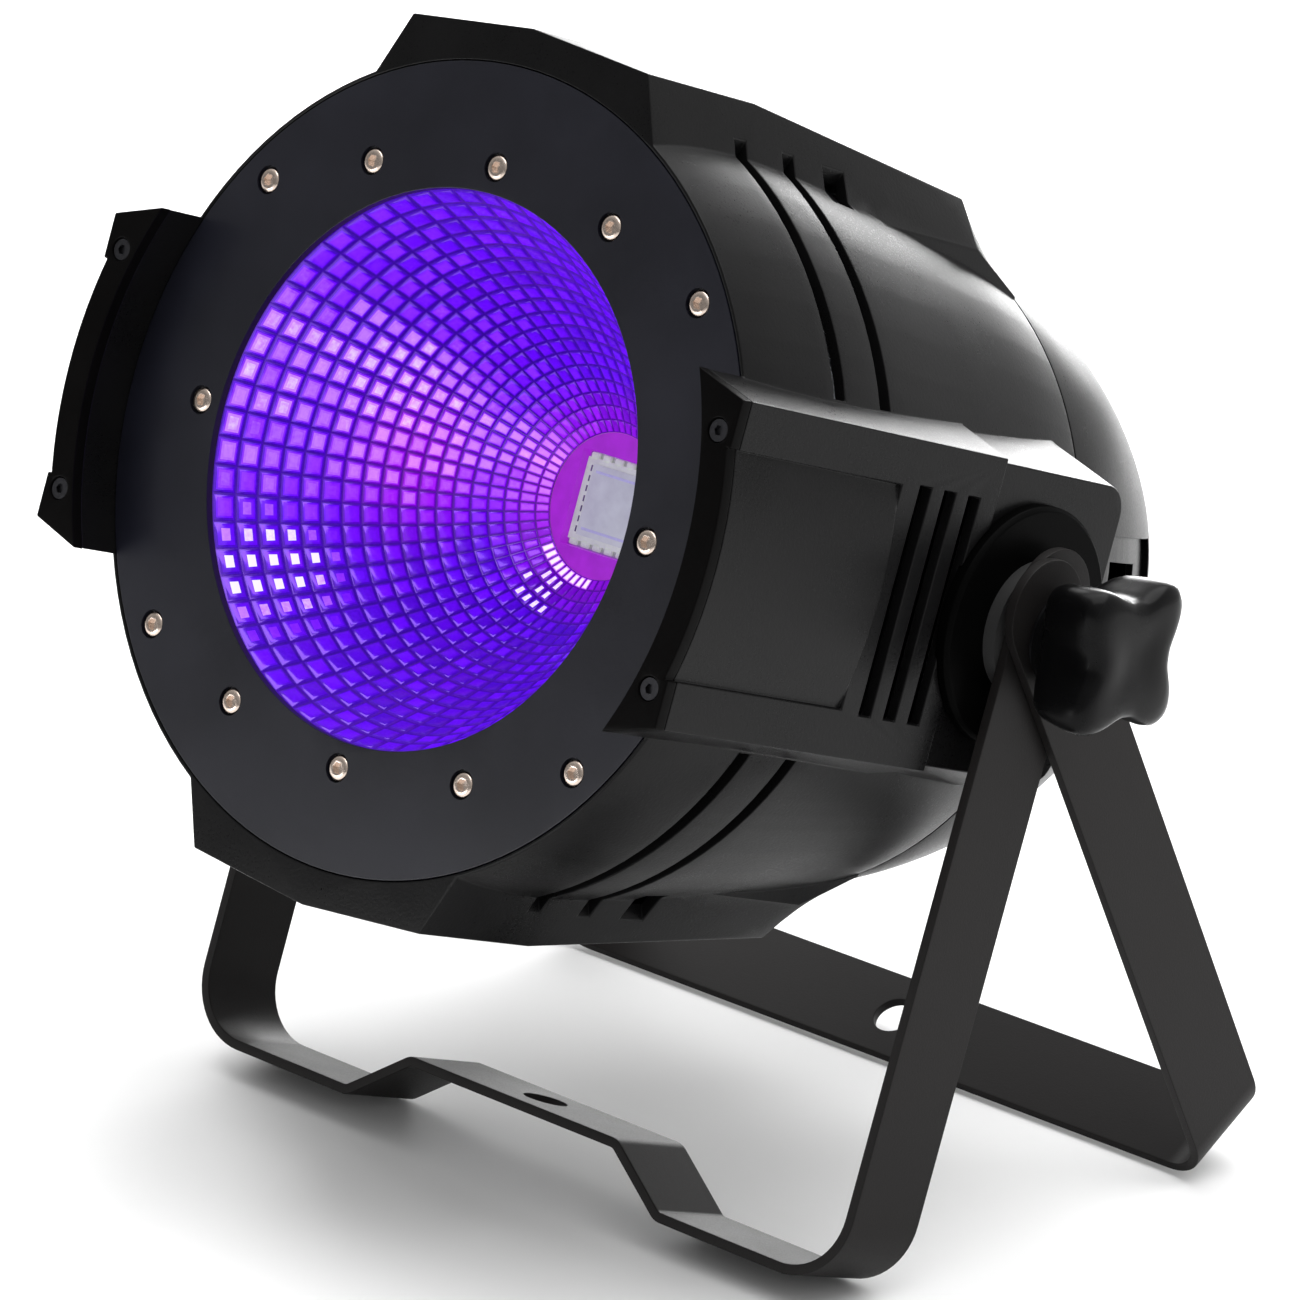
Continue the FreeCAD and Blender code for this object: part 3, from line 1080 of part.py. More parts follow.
def power_socket(x, key_angles):
    """Twist-lock mains socket with a keyed core."""
    core_end = SOCKET_OUTER_Y - POWER_CORE_SINK
    core = cylinder_y(POWER_CORE_RADIUS, SOCKET_FLOOR_Y - OVERRUN, core_end, x, SOCKET_Z)
    keys = []
    for angle in key_angles:
        key = radial_block(0, POWER_KEY[1], POWER_KEY[0], SOCKET_FLOOR_Y - OVERRUN, core_end,
                           angle)
        key.translate(Vec(x, 0, SOCKET_Z))
        keys.append(key)
    contacts = [round_socket_part(POWER_CONTACT_RADIUS, SOCKET_FLOOR_Y + OVERRUN, SOCKET_OUTER_Y,
                                  x, POWER_CONTACT_CIRCLE, angle) for angle in (90, 210, 330)]
    return cut_all(fuse_all([socket_shell(x), core] + keys), contacts)


def socket_screws():
    """Two small screws in each socket flange."""
    return [backward_screw(SOCKET_HEAD_RADIUS, SOCKET_HEAD_DEPTH, SOCKET_SCREW_RADIUS,
                           SOCKET_SCREW_LENGTH, SOCKET_OUTER_Y, hole_x, hole_z)
            for x in socket_places() for hole_x, hole_z in socket_screw_places(x)]


# ---- fuse and ring bolt ------------------------------------------------------------
def fuse_holder():
    """Panel fuse holder with a flange outside and a nut inside."""
    x, z = FUSE_PLACE
    face = REAR_FACE_Y + FUSE_FLANGE_THICKNESS
    body = cylinder_y(FUSE_BODY_RADIUS, FUSE_END_Y, face, x, z)
    flange = cylinder_y(FUSE_FLANGE_RADIUS, REAR_FACE_Y, face, x, z)
    nut = cylinder_y(FUSE_FLANGE_RADIUS, PANEL_INNER_Y - FUSE_NUT_THICKNESS, PANEL_INNER_Y, x, z)
    bore = cylinder_y(FUSE_BODY_RADIUS - FUSE_WALL, FUSE_END_Y + FUSE_WALL, face + OVERRUN, x, z)
    return fuse_all([body, flange, nut]).cut(bore)


def fuse_cap():
    """Turn-and-pull cap of the fuse holder, with its coin slot."""
    x, z = FUSE_PLACE
    face = REAR_FACE_Y + FUSE_FLANGE_THICKNESS + FACE_PLAY
    end = face + FUSE_CAP_HEIGHT
    head = cylinder_y(FUSE_CAP_RADIUS, face, end, x, z)
    rim = [edge for edge in head.Edges if edge.CenterOfMass.y > end - 0.1]
    head = head.makeChamfer(FUSE_CAP_CHAMFER, rim[:1])
    plug = cylinder_y(FUSE_BODY_RADIUS - FUSE_WALL - RUN_FIT, face - FUSE_PLUG_LENGTH,
                      face + OVERRUN / 2, x, z)
    return fuse_all([head, plug]).cut(centred_block(FUSE_SLOT, (x, end, z)))


def safety_eye():
    """Ring bolt for a safety cable."""
    x, z = EYE_PLACE
    collar_end = REAR_FACE_Y + EYE_COLLAR_THICKNESS
    shank = cylinder_y(EYE_SHANK_RADIUS, PANEL_INNER_Y - EYE_NUT_THICKNESS - EYE_SHANK_TAIL,
                       collar_end + EYE_WIRE_RADIUS, x, z)
    collar = cylinder_y(EYE_COLLAR_RADIUS, REAR_FACE_Y, collar_end, x, z)
    ring_centre = collar_end + EYE_RING_RADIUS + EYE_WIRE_RADIUS / 2
    ring = Part.makeTorus(EYE_RING_RADIUS, EYE_WIRE_RADIUS, Vec(x, ring_centre, z), X_AXIS)
    return fuse_all([shank, collar, ring])


def safety_eye_nut():
    """Nut on the ring bolt, inside the panel."""
    x, z = EYE_PLACE
    nut = prism(hexagon(EYE_NUT_RADIUS, x, z), PANEL_INNER_Y - EYE_NUT_THICKNESS, PANEL_INNER_Y)
    return nut.cut(cylinder_y(EYE_SHANK_RADIUS + RUN_FIT,
                              PANEL_INNER_Y - EYE_NUT_THICKNESS - OVERRUN,
                              PANEL_INNER_Y + OVERRUN, x, z))


def rear_panel():
    """Round plate that carries the display, buttons, sockets, fuse and ring bolt."""
    low = PANEL_INNER_Y - OVERRUN
    high = REAR_FACE_Y + OVERRUN
    half_width = DISPLAY_SIZE[0] / 2 + SEAT_GAP
    half_height = DISPLAY_SIZE[1] / 2 + SEAT_GAP
    window = block((-half_width, half_width), (low, high),
                   (DISPLAY_CENTRE_Z - half_height, DISPLAY_CENTRE_Z + half_height))
    cuts = [window.makeFillet(DISPLAY_CORNER + SEAT_GAP, edges_along_y(window))]
    cuts += [cylinder_y(BUTTON_RADIUS + BUTTON_CLEARANCE, low, high, x, BUTTON_Z)
             for x in BUTTON_PLACES]
    for x in socket_places():
        cuts.append(cylinder_y(SOCKET_BODY_RADIUS + SEAT_GAP, low, high, x, SOCKET_Z))
        cuts += [cylinder_y(SOCKET_SCREW_RADIUS, low, high, hole_x, hole_z)
                 for hole_x, hole_z in socket_screw_places(x)]
    cuts.append(cylinder_y(FUSE_BODY_RADIUS + SEAT_GAP, low, high, *FUSE_PLACE))
    cuts.append(cylinder_y(EYE_SHANK_RADIUS + SEAT_GAP, low, high, *EYE_PLACE))
    cuts += holes_on_circle(PANEL_SCREW_RADIUS + SCREW_CLEARANCE, PANEL_SCREW_PLACE, DIAGONALS,
                            low, high)
    return cut_all(cylinder_y(PANEL_PLATE_RADIUS, PANEL_INNER_Y, REAR_FACE_Y), cuts)


def rear_panel_screws():
    """Four screws that hold the panel on its seat."""
    return screws_on_circle(PANEL_HEAD_RADIUS, PANEL_SCREW_RADIUS, PANEL_SCREW_LENGTH,
                            REAR_FACE_Y, PANEL_SCREW_PLACE, DIAGONALS)


# ---- pivot stack, brackets and knobs -----------------------------------------------
def washer(radius, x_start, thickness):
    """Plain washer on the stud."""
    return cylinder_x(radius, x_start, x_start + thickness).cut(
        cylinder_x(STUD_RADIUS + SEAT_GAP, x_start - OVERRUN, x_start + thickness + OVERRUN))


def pivot_disc():
    """Round friction disc on the pod, with a chamfered rim."""
    disc = washer(PIVOT_DISC_RADIUS, POD_REAR_HALF_WIDTH, PIVOT_DISC_THICKNESS)
    rim = [edge for edge in disc.Edges if abs(edge.CenterOfMass.x - SPACER_X) < 0.01
           and edge.Length > PIVOT_DISC_RADIUS]
    return disc.makeChamfer(PIVOT_DISC_CHAMFER, rim)


def thread_insert():
    """Threaded bush pressed into the pod's boss."""
    end = PIVOT_BOSS_INNER_X + INSERT_LENGTH
    return cylinder_x(INSERT_RADIUS, PIVOT_BOSS_INNER_X, end).cut(
        cylinder_x(STUD_RADIUS + RUN_FIT, PIVOT_BOSS_INNER_X - OVERRUN, end + OVERRUN))


def knob_stud():
    """Stud moulded into the knob, screwed into the pod."""
    return cylinder_x(STUD_RADIUS, POD_REAR_HALF_WIDTH - STUD_GRIP, KNOB_X + STUD_IN_KNOB)


def knob():
    """Four-lobed clamp knob."""
    start = KNOB_X + KNOB_BASE_LENGTH
    end = KNOB_X + KNOB_LENGTH
    base = cylinder_x(KNOB_BASE_RADIUS, KNOB_X, start + OVERRUN)
    lobes = []
    for index in range(KNOB_LOBES):
        turn = math.radians(KNOB_TURN + 360.0 * index / KNOB_LOBES)
        lobes.append(cylinder_x(KNOB_LOBE_RADIUS, start, end,
                                PIVOT_Y + KNOB_LOBE_PLACE * math.sin(turn),
                                KNOB_LOBE_PLACE * math.cos(turn)))
    head = fuse_all([cylinder_x(KNOB_CORE_RADIUS, start, end)] + lobes)
    rims = [edge for edge in head.Edges
            if min(abs(edge.CenterOfMass.x - start), abs(edge.CenterOfMass.x - end)) < 0.01]
    head = head.makeChamfer(KNOB_CHAMFER, rims)
    return fuse_all([base, head]).cut(
        cylinder_x(STUD_RADIUS, KNOB_X - OVERRUN, KNOB_X + STUD_IN_KNOB))


def strap_path(half_inner, reach, hat):
    """Outer-face outline of one bracket in X-Z, from the left pivot round to the right."""
    outer = half_inner + STRAP_THICKNESS
    left = [(-outer, STRAP_END), (-outer, -reach)]
    if hat:
        left += [(-HAT_HALF_FOOT, -reach), (-HAT_HALF_TOP, HAT_HEIGHT - reach)]
    return left + [(-x, z) for x, z in reversed(left)]


def offset_path(points, distance):
    """Polyline moved towards the inside of the U by a distance, corner by corner."""
    moved = []
    for index, point in enumerate(points):
        normals = []
        for a, b in zip(points[max(index - 1, 0):index + 1], points[max(index, 1):index + 2]):
            length = math.hypot(b[0] - a[0], b[1] - a[1])
            normals.append((-(b[1] - a[1]) / length, (b[0] - a[0]) / length))
        first, last = normals[0], normals[-1]
        scale = distance / (1.0 + first[0] * last[0] + first[1] * last[1])
        moved.append((point[0] + scale * (first[0] + last[0]),
                      point[1] + scale * (first[1] + last[1])))
    return moved


def bend_corner(bar, corner, radius):
    """Round the edge of a bracket at one (x, z) corner of its outline."""
    x, z = corner
    edges = [edge for edge in edges_along_y(bar)
             if abs(edge.CenterOfMass.x - x) < 0.01 and abs(edge.CenterOfMass.z - z) < 0.01]
    return bar.makeFillet(radius, edges)


def bracket(half_inner, reach, bend, hat):
    """Flat bar bent to a U, with rounded ends, pivot holes and a clamp hole."""
    outer_path = strap_path(half_inner, reach, hat)
    inner_path = offset_path(outer_path, STRAP_THICKNESS)
    loop = outer_path + list(reversed(inner_path))
    y_low = PIVOT_Y - STRAP_WIDTH / 2
    face = Part.Face(Part.makePolygon([Vec(x, y_low, z) for x, z in loop + [loop[0]]]))
    bar = face.extrude(Vec(0, STRAP_WIDTH, 0))
    for outer_corner, inner_corner in zip(outer_path[1:-1], inner_path[1:-1]):
        is_leg = abs(outer_corner[0]) > HAT_HALF_FOOT
        is_hat_top = outer_corner[1] > -reach
        radius = bend if is_leg else HAT_BEND
        inner_radius = radius - STRAP_THICKNESS
        bar = bend_corner(bar, outer_corner, inner_radius if is_hat_top else radius)
        bar = bend_corner(bar, inner_corner, radius if is_hat_top else inner_radius)
    round_centre = STRAP_END - STRAP_WIDTH / 2
    width = half_inner + STRAP_THICKNESS + OVERRUN
    square = block((-width, width), (y_low - OVERRUN, y_low + STRAP_WIDTH + OVERRUN),
                   (round_centre, STRAP_END + OVERRUN))
    rounded = cylinder_x(STRAP_WIDTH / 2, -width - OVERRUN, width + OVERRUN, PIVOT_Y, round_centre)
    clamp_hole = Part.makeCylinder(CLAMP_HOLE_RADIUS, HAT_HEIGHT + 3 * STRAP_THICKNESS,
                                   Vec(0, PIVOT_Y, -reach - STRAP_THICKNESS), Z_AXIS)
    pivot_hole = cylinder_x(STUD_RADIUS + RUN_FIT, -width, width)
    return cut_all(bar, [square.cut(rounded), clamp_hole, pivot_hole])


def front_bracket():
    """Inner bracket, square to the lamp, with a raised hat in its crossbar."""
    return bracket(FRONT_STRAP_X, FRONT_REACH, FRONT_BEND, True)


def rear_bracket():
    """Outer bracket, swung back, with a straight crossbar."""
    bar = bracket(REAR_STRAP_X, REAR_REACH, REAR_BEND, False)
    bar.rotate(Vec(0, PIVOT_Y, 0), X_AXIS, REAR_SWING)
    return bar


# ---- pose and output ---------------------------------------------------------------
def standing_tilt():
    """Angle that brings the standing edges of both brackets to one level."""
    swing = math.radians(REAR_SWING)
    half = STRAP_WIDTH / 2
    front = (half, -FRONT_REACH)
    rear = (REAR_REACH * math.sin(swing) - half * math.cos(swing),
            -REAR_REACH * math.cos(swing) - half * math.sin(swing))
    return math.degrees(math.atan2(rear[1] - front[1], rear[0] - front[0]))


def head_pieces():
    """Pieces of the lamp head by node name; a list is a group of like solids."""
    return {
        "front_housing": front_housing(),
        "rear_cover": rear_cover(),
        "seam_screws": seam_screws(),
        "bezel_ring": bezel_ring(),
        "bezel_screws": bezel_screws(),
        "reflector": reflector(),
        "pod_plate_screws": pod_plate_screws(),
        "cob_board": cob_board(),
        "cob_emitter": cob_emitter(),
        "cob_holder": cob_holder(),
        "cob_screws": cob_screws(),
        "heatsink": heatsink(),
        "heatsink_screws": heatsink_screws(),
        "fan_frame": fan_frame(),
        "fan_rotor": fan_rotor(),
        "fan_screws": fan_screws(),
        "chassis_plate": chassis_plate(),
        "chassis_screws": chassis_screws(),
        "driver": driver(),
        "driver_screws": driver_screws(),
    }


def panel_pieces():
    """Pieces on the rear panel by node name."""
    pieces = {
        "rear_panel": rear_panel(),
        "rear_panel_screws": rear_panel_screws(),
        "control_board": control_board(),
        "board_spacers": board_spacers(),
        "display_module": display_module(),
        "data_in_socket": data_in_socket(),
        "data_out_socket": data_out_socket(),
        "data_out_latch": data_out_latch(),
        "power_in_socket": power_socket(socket_places()[2], (0, 180)),
        "power_out_socket": power_socket(socket_places()[3], (90, 210)),
        "socket_screws": socket_screws(),
        "fuse_holder": fuse_holder(),
        "fuse_cap": fuse_cap(),
        "safety_eye": safety_eye(),
        "safety_eye_nut": safety_eye_nut(),
    }
    for name, x in zip(BUTTON_NAMES, BUTTON_PLACES):
        pieces["button_" + name] = button(x)
    return pieces


def side_pieces():
    """Pieces that come in a left and a right copy, drawn on the right."""
    return {
        "pod_plate": pod_plate(),
        "pivot_disc": pivot_disc(),
        "pivot_spacer": washer(SPACER_RADIUS, SPACER_X, SPACER_THICKNESS),
        "thread_insert": thread_insert(),
        "clamp_washer": washer(CLAMP_WASHER_RADIUS, CLAMP_WASHER_X, CLAMP_WASHER_THICKNESS),
        "knob": knob(),
        "knob_stud": knob_stud(),
    }


def build_nodes():
    """All pieces by node name, in the lamp's own frame."""
    pieces = {**head_pieces(), **panel_pieces(), "front_bracket": front_bracket(),
              "rear_bracket": rear_bracket()}
    nodes = {name: Part.makeCompound(shape) if isinstance(shape, list) else shape
             for name, shape in pieces.items()}
    for name, shape in side_pieces().items():
        for side, sign in SIDES:
            nodes[side + "_" + name] = on_side(shape, sign)
    return nodes


def finish_pose(nodes):
    """Tip the lamp on to its standing edges and move the origin under its middle."""
    tilt = standing_tilt()
    for shape in nodes.values():
        shape.rotate(Vec(0, PIVOT_Y, 0), X_AXIS, -tilt)
    box = Part.makeCompound(list(nodes.values())).optimalBoundingBox(True, False)
    shift = Vec(-(box.XMin + box.XMax) / 2, -(box.YMin + box.YMax) / 2, -box.ZMin)
    for shape in nodes.values():
        shape.translate(shift)
    return tilt, shift


def main():
    """Build, pose and write every piece."""
    os.makedirs("parts", exist_ok=True)
    nodes = build_nodes()
    tilt, shift = finish_pose(nodes)
    print("tilt %.6f shift %.6f %.6f %.6f" % (tilt, shift.x, shift.y, shift.z))
    for name, shape in nodes.items():
        shape.exportStep("parts/" + name + ".step")


main()
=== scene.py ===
"""Looks of a stage par light: reflector, emitter, castings, brackets, knobs and rear controls.

Sub-assemblies are classes that hold their sizes in millimetres in the lamp's own axes:
X to the right, Y backwards from the bezel's front face, Z up.  LampFrame turns those
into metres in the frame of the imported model, so each finished mesh holds its own place.
"""
import json
import logging
import math
import random
from dataclasses import dataclass, field
from enum import Enum
from typing import Callable, Iterable, Sequence

import bmesh
import bpy
from mathutils import Matrix, Vector


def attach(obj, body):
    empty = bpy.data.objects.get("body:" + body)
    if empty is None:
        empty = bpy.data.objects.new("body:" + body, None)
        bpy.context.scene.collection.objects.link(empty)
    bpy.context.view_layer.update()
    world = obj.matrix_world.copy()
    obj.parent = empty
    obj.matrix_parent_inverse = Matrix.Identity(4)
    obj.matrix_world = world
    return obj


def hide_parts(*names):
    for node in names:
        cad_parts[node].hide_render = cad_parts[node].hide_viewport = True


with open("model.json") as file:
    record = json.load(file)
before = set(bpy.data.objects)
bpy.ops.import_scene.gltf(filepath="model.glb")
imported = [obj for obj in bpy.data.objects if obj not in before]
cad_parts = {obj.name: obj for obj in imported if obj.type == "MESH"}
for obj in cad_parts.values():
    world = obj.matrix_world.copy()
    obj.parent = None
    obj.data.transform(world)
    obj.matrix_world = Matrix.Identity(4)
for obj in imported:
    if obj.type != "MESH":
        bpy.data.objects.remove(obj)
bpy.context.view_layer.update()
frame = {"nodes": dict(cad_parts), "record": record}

log = logging.getLogger("par_light")
MM = 0.001
ROUNDED_ANGLE = 32.0
ROUNDED_FACES = 2
Colour = tuple[float, float, float]
Point = tuple[float, float, float]
Pair = tuple[float, float]
Patch = tuple[Pair, Pair]
Socket = bpy.types.NodeSocket
Piece = bpy.types.Object
Shape, Vertex, Face = bmesh.types.BMesh, bmesh.types.BMVert, bmesh.types.BMFace


# ---- places ----
@dataclass(frozen=True)
class LampFrame:
    """The lamp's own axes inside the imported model.

    Attributes:
        matrix: takes lamp millimetres to the model's metres.
    """

    matrix: Matrix

    @classmethod
    def from_model(cls) -> "LampFrame":
        """Gives the frame at rest from the pivot, the optical axis and the bezel's front face."""
        joints = {joint["name"]: joint for joint in frame["record"]["behaviour"]["joints"]}
        pivot = Vector(joints["front_bracket_pivot"]["pos_m"])
        back = Vector(joints["fan_spin"]["axis"]).normalized()
        right = Vector((1.0, 0.0, 0.0))
        up = right.cross(back)
        front = min(back.dot(vertex.co) for vertex in frame["nodes"]["bezel_ring"].data.vertices)
        origin = pivot + back * (front - back.dot(pivot))
        turn = Matrix((right, back, up)).transposed().to_4x4()
        return cls(Matrix.Translation(origin) @ turn @ Matrix.Scale(MM, 4))

    def to_lamp(self, point: Vector) -> Vector:
        """Gives a point of the model in lamp millimetres."""
        return self.matrix.inverted() @ point


# ---- mesh helpers ----
def add_object(name: str, data: bpy.types.ID) -> Piece:
    """Puts a new object with its data into the scene."""
    thing = bpy.data.objects.new(name, data)
    bpy.context.scene.collection.objects.link(thing)
    return thing


def finish_piece(shape: Shape, name: str, body: str, finishes: Sequence["Finish"],
                 slot: str, place: Matrix | None = None, sharp: float = 35.0,
                 replaces: Sequence[str] = ()) -> Piece:
    """Makes an object of a bmesh, dresses it and lets it ride on its body.

    Args:
        shape: the finished shape; it is freed.
        name: the piece's name.
        body: the body it moves with.
        finishes: its finishes, in the order of its faces' material numbers.
        slot: the record's material slot; not used.
        place: takes the shape to the model's metres, where it isn't there yet.
        sharp: edges above this angle stay sharp.
        replaces: nodes that the piece stands for.

    Returns:
        The new object, at the origin.
    """
    if place is not None:
        bmesh.ops.transform(shape, matrix=place, verts=shape.verts)
    mesh = bpy.data.meshes.new(name)
    shape.to_mesh(mesh)
    shape.free()
    # Normals taken over from a node's mesh would wrinkle the faces beside its rounded edges.
    inherited = mesh.attributes.get("custom_normal")
    if inherited is not None:
        mesh.attributes.remove(inherited)
    piece = add_object(name, mesh)
    for finish in finishes:
        mesh.materials.append(finish.material())
    for polygon in mesh.polygons:
        polygon.use_smooth = True
    mesh.set_sharp_from_angle(angle=math.radians(sharp))
    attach(piece, body)
    if replaces:
        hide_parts(*replaces)
    log.info("%s: %d faces on %s", name, len(mesh.polygons), body)
    return piece


def lathe(shape: Shape, profile: Sequence[Pair], steps: int,
          closed: bool = False) -> None:
    """Spins a profile of (radius, y) once round the lamp's Y axis.

    Args:
        shape: the bmesh to add to.
        profile: the outline; a radius of 0 makes a closed pole.
        steps: number of sides.
        closed: whether the outline's last point joins its first.
    """
    part = bmesh.new()
    chain = [part.verts.new((radius, y, 0.0)) for radius, y in profile]
    edges = [part.edges.new(pair) for pair in zip(chain, chain[1:])]
    if closed:
        edges.append(part.edges.new((chain[-1], chain[0])))
    bmesh.ops.spin(part, geom=chain + edges, cent=(0, 0, 0), axis=(0, 1, 0),
                   angle=math.tau, steps=steps, use_merge=True)
    bmesh.ops.remove_doubles(part, verts=part.verts, dist=1e-4)
    bmesh.ops.recalc_face_normals(part, faces=part.faces)
    add_part(shape, part)


def add_part(shape: Shape, part: Shape) -> list[Vertex]:
    """Joins a part into a shape, frees the part and gives the vertices that were added."""
    before = len(shape.verts)
    carrier = bpy.data.meshes.new("carrier")
    part.to_mesh(carrier)
    part.free()
    shape.from_mesh(carrier)
    bpy.data.meshes.remove(carrier)
    shape.verts.ensure_lookup_table()
    return list(shape.verts)[before:]


def set_material(vertices: Iterable[Vertex], number: int) -> None:
    """Gives all faces of some vertices one material number."""
    for vertex in vertices:
        for face in vertex.link_faces:
            face.material_index = number


def rounded_box(shape: Shape, size: Sequence[float], centre: Sequence[float],
                edge: float, segments: int = 2) -> list[Vertex]:
    """Adds a box with rounded edges.

    Args:
        shape: the bmesh to add to.
        size: width, depth and height.
        centre: its middle.
        edge: radius of its edges.
        segments: number of faces across each rounded edge.

    Returns:
        The new vertices.
    """
    part = bmesh.new()
    bmesh.ops.create_cube(part, size=1.0)
    bmesh.ops.scale(part, vec=Vector(size), verts=part.verts)
    bmesh.ops.bevel(part, geom=list(part.edges), offset=edge, offset_type="OFFSET",
                    segments=segments, profile=0.5, affect="EDGES", material=-1)
    bmesh.ops.translate(part, vec=Vector(centre), verts=part.verts)
    return add_part(shape, part)


def softened(node: str, body: str, finish: "Finish", slot: str, edge: float,
             chosen: Callable[[Vector], bool]) -> None:
    """Stands a copy with rounded edges in the place of a node.

    Args:
        node: the node's name.
        body: the body it moves with.
        finish: the copy's finish.
        slot: the record's material slot.
        edge: radius of the rounded edges, in millimetres.
        chosen: tells by an end point, in metres, whether an edge is rounded.
    """
    shape = bmesh.new()
    shape.from_mesh(frame["nodes"][node].data)
    bmesh.ops.remove_doubles(shape, verts=shape.verts, dist=2e-6)
    bmesh.ops.dissolve_limit(shape, angle_limit=math.radians(0.6), verts=shape.verts,
                             edges=shape.edges, delimit={"NORMAL"})
    rims = [rim for rim in shape.edges if len(rim.link_faces) == 2
            and rim.calc_face_angle(0.0) > math.radians(ROUNDED_ANGLE)
            and all(chosen(vertex.co) for vertex in rim.verts)]
    bmesh.ops.bevel(shape, geom=rims, offset=edge * MM, offset_type="OFFSET",
                    segments=ROUNDED_FACES, profile=0.5, affect="EDGES", clamp_overlap=False,
                    material=-1)
    bmesh.ops.triangulate(shape, faces=[face for face in shape.faces if len(face.verts) > 4])
    for face in shape.faces:
        face.material_index = 0
    piece = finish_piece(shape, "soft_" + node, body, [finish], slot, replaces=[node])
    weighted = piece.modifiers.new("flat_faces_stay_flat", "WEIGHTED_NORMAL")
    weighted.keep_sharp = True


# ---- finishes ----
def shaded(tone: Colour, share: float) -> Colour:
    """Gives a share of a colour, at most white."""
    return tuple(min(value * share, 1.0) for value in tone)


class Recipe:
    """Builds the nodes of one procedural material."""

    def __init__(self, name: str) -> None:
        """Starts an empty material of some name."""
        self.material = bpy.data.materials.new(name)
        self.material.use_nodes = True
        self.nodes = self.material.node_tree.nodes
        self.links = self.material.node_tree.links
        self.shader = self.nodes["Principled BSDF"]
        self.place = self.nodes.new("ShaderNodeTexCoord").outputs["Object"]

    def set(self, **values: object) -> None:
        """Sets constants on the shader's own sockets; a name's _ stands for a space."""
        for socket, value in values.items():
            self.shader.inputs[socket.replace("_", " ")].default_value = value

    def add(self, kind: str, values: dict[str | int, object] | None = None,
            sources: dict[str | int, Socket] | None = None,
            operation: str = "") -> bpy.types.Node:
        """Adds a node.

        Args:
            kind: its type, as it stands after "ShaderNode".
            values: constants of its inputs.
            sources: outputs that lead into its inputs.
            operation: what a node for sums or vectors works out.

        Returns:
            The node.
        """
        node = self.nodes.new("ShaderNode" + kind)
        if operation:
            node.operation = operation
        for socket, value in (values or {}).items():
            node.inputs[socket].default_value = value
        for socket, source in (sources or {}).items():
            self.links.new(source, node.inputs[socket])
        return node

    def noise(self, millimetres: float, detail: float = 3.0, roughness: float = 0.55,
              stretch: Sequence[float] | None = None) -> Socket:
        """Adds noise on the object's own coordinates.

        Args:
            millimetres: size of one patch.
            detail: number of finer layers.
            roughness: strength of the finer layers.
            stretch: scale along each axis, for brushed or drawn grain.

        Returns:
            The noise's factor.
        """
        source = self.place
        if stretch is not None:
            source = self.add("Mapping", {"Scale": stretch}, {"Vector": source}).outputs["Vector"]
        return self.add("TexNoise", {"Scale": 1.0 / (millimetres * MM), "Detail": detail,
                                     "Roughness": roughness}, {"Vector": source}).outputs["Fac"]

    def tint(self, socket: str, factor: Socket, *stops: tuple[float, Colour]) -> None:
        """Leads a ramp's colour into one of the shader's sockets."""
        self.feed(self.ramp(factor, stops), socket)

    def attribute(self, name: str) -> Socket:
        """Reads one of the mesh's own values."""
        node = self.add("Attribute")
        node.attribute_name = name
        return node.outputs["Fac"]

    def ramp(self, factor: Socket, stops: Sequence[tuple[float, Colour]]) -> Socket:
        """Turns a factor into a colour by stops of (position, colour)."""
        node = self.add("ValToRGB", sources={"Fac": factor})
        while len(node.color_ramp.elements) < len(stops):
            node.color_ramp.elements.new(0.5)
        for element, (position, colour) in zip(node.color_ramp.elements, stops):
            element.position = position
            element.color = (*colour, 1.0)
        return node.outputs["Color"]

    def span(self, factor: Socket, low: float, high: float, start: float = 0.25,
             end: float = 0.75) -> Socket:
        """Maps a factor from start..end to low..high."""
        return self.add("MapRange", {"From Min": start, "From Max": end, "To Min": low,
                                     "To Max": high}, {"Value": factor}).outputs["Result"]

    def sum(self, first: Socket, second: Socket, share: float) -> Socket:
        """Adds a share of the second factor to the first."""
        return self.add("Math", {1: share}, {0: second, 2: first},
                        "MULTIPLY_ADD").outputs["Value"]

    def off_axis(self, place: LampFrame) -> Socket:
        """Gives the distance from the lamp's axis in millimetres."""
        location, rotation, scale = place.matrix.inverted().decompose()
        mapped = self.add("Mapping", {"Location": location, "Rotation": rotation.to_euler(),
                                      "Scale": scale}, {"Vector": self.place})
        flat = self.add("VectorMath", {1: (1.0, 0.0, 1.0)}, {0: mapped.outputs["Vector"]},
                        "MULTIPLY")
        return self.add("VectorMath", None, {0: flat.outputs["Vector"]},
                        "LENGTH").outputs["Value"]

    def bump(self, height: Socket, millimetres: float) -> None:
        """Raises the surface by a factor, a few hundredths of a millimetre."""
        node = self.add("Bump", {"Strength": 1.0, "Distance": millimetres * MM},
                        {"Height": height})
        self.feed(node.outputs["Normal"], "Normal")

    def feed(self, source: Socket, socket: str) -> None:
        """Leads a source into one of the shader's sockets."""
        self.links.new(source, self.shader.inputs[socket])


@dataclass(frozen=True)
class Finish:
    """A finish that is made once and shared."""

    name: str

    def build(self, recipe: Recipe) -> None:
        """Adds the finish's nodes."""
        raise NotImplementedError

    def material(self) -> bpy.types.Material:
        """Gives the finish's material, made on first use."""
        known = bpy.data.materials.get(self.name)
        if known is not None:
            return known
        recipe = Recipe(self.name)
        self.build(recipe)
        return recipe.material


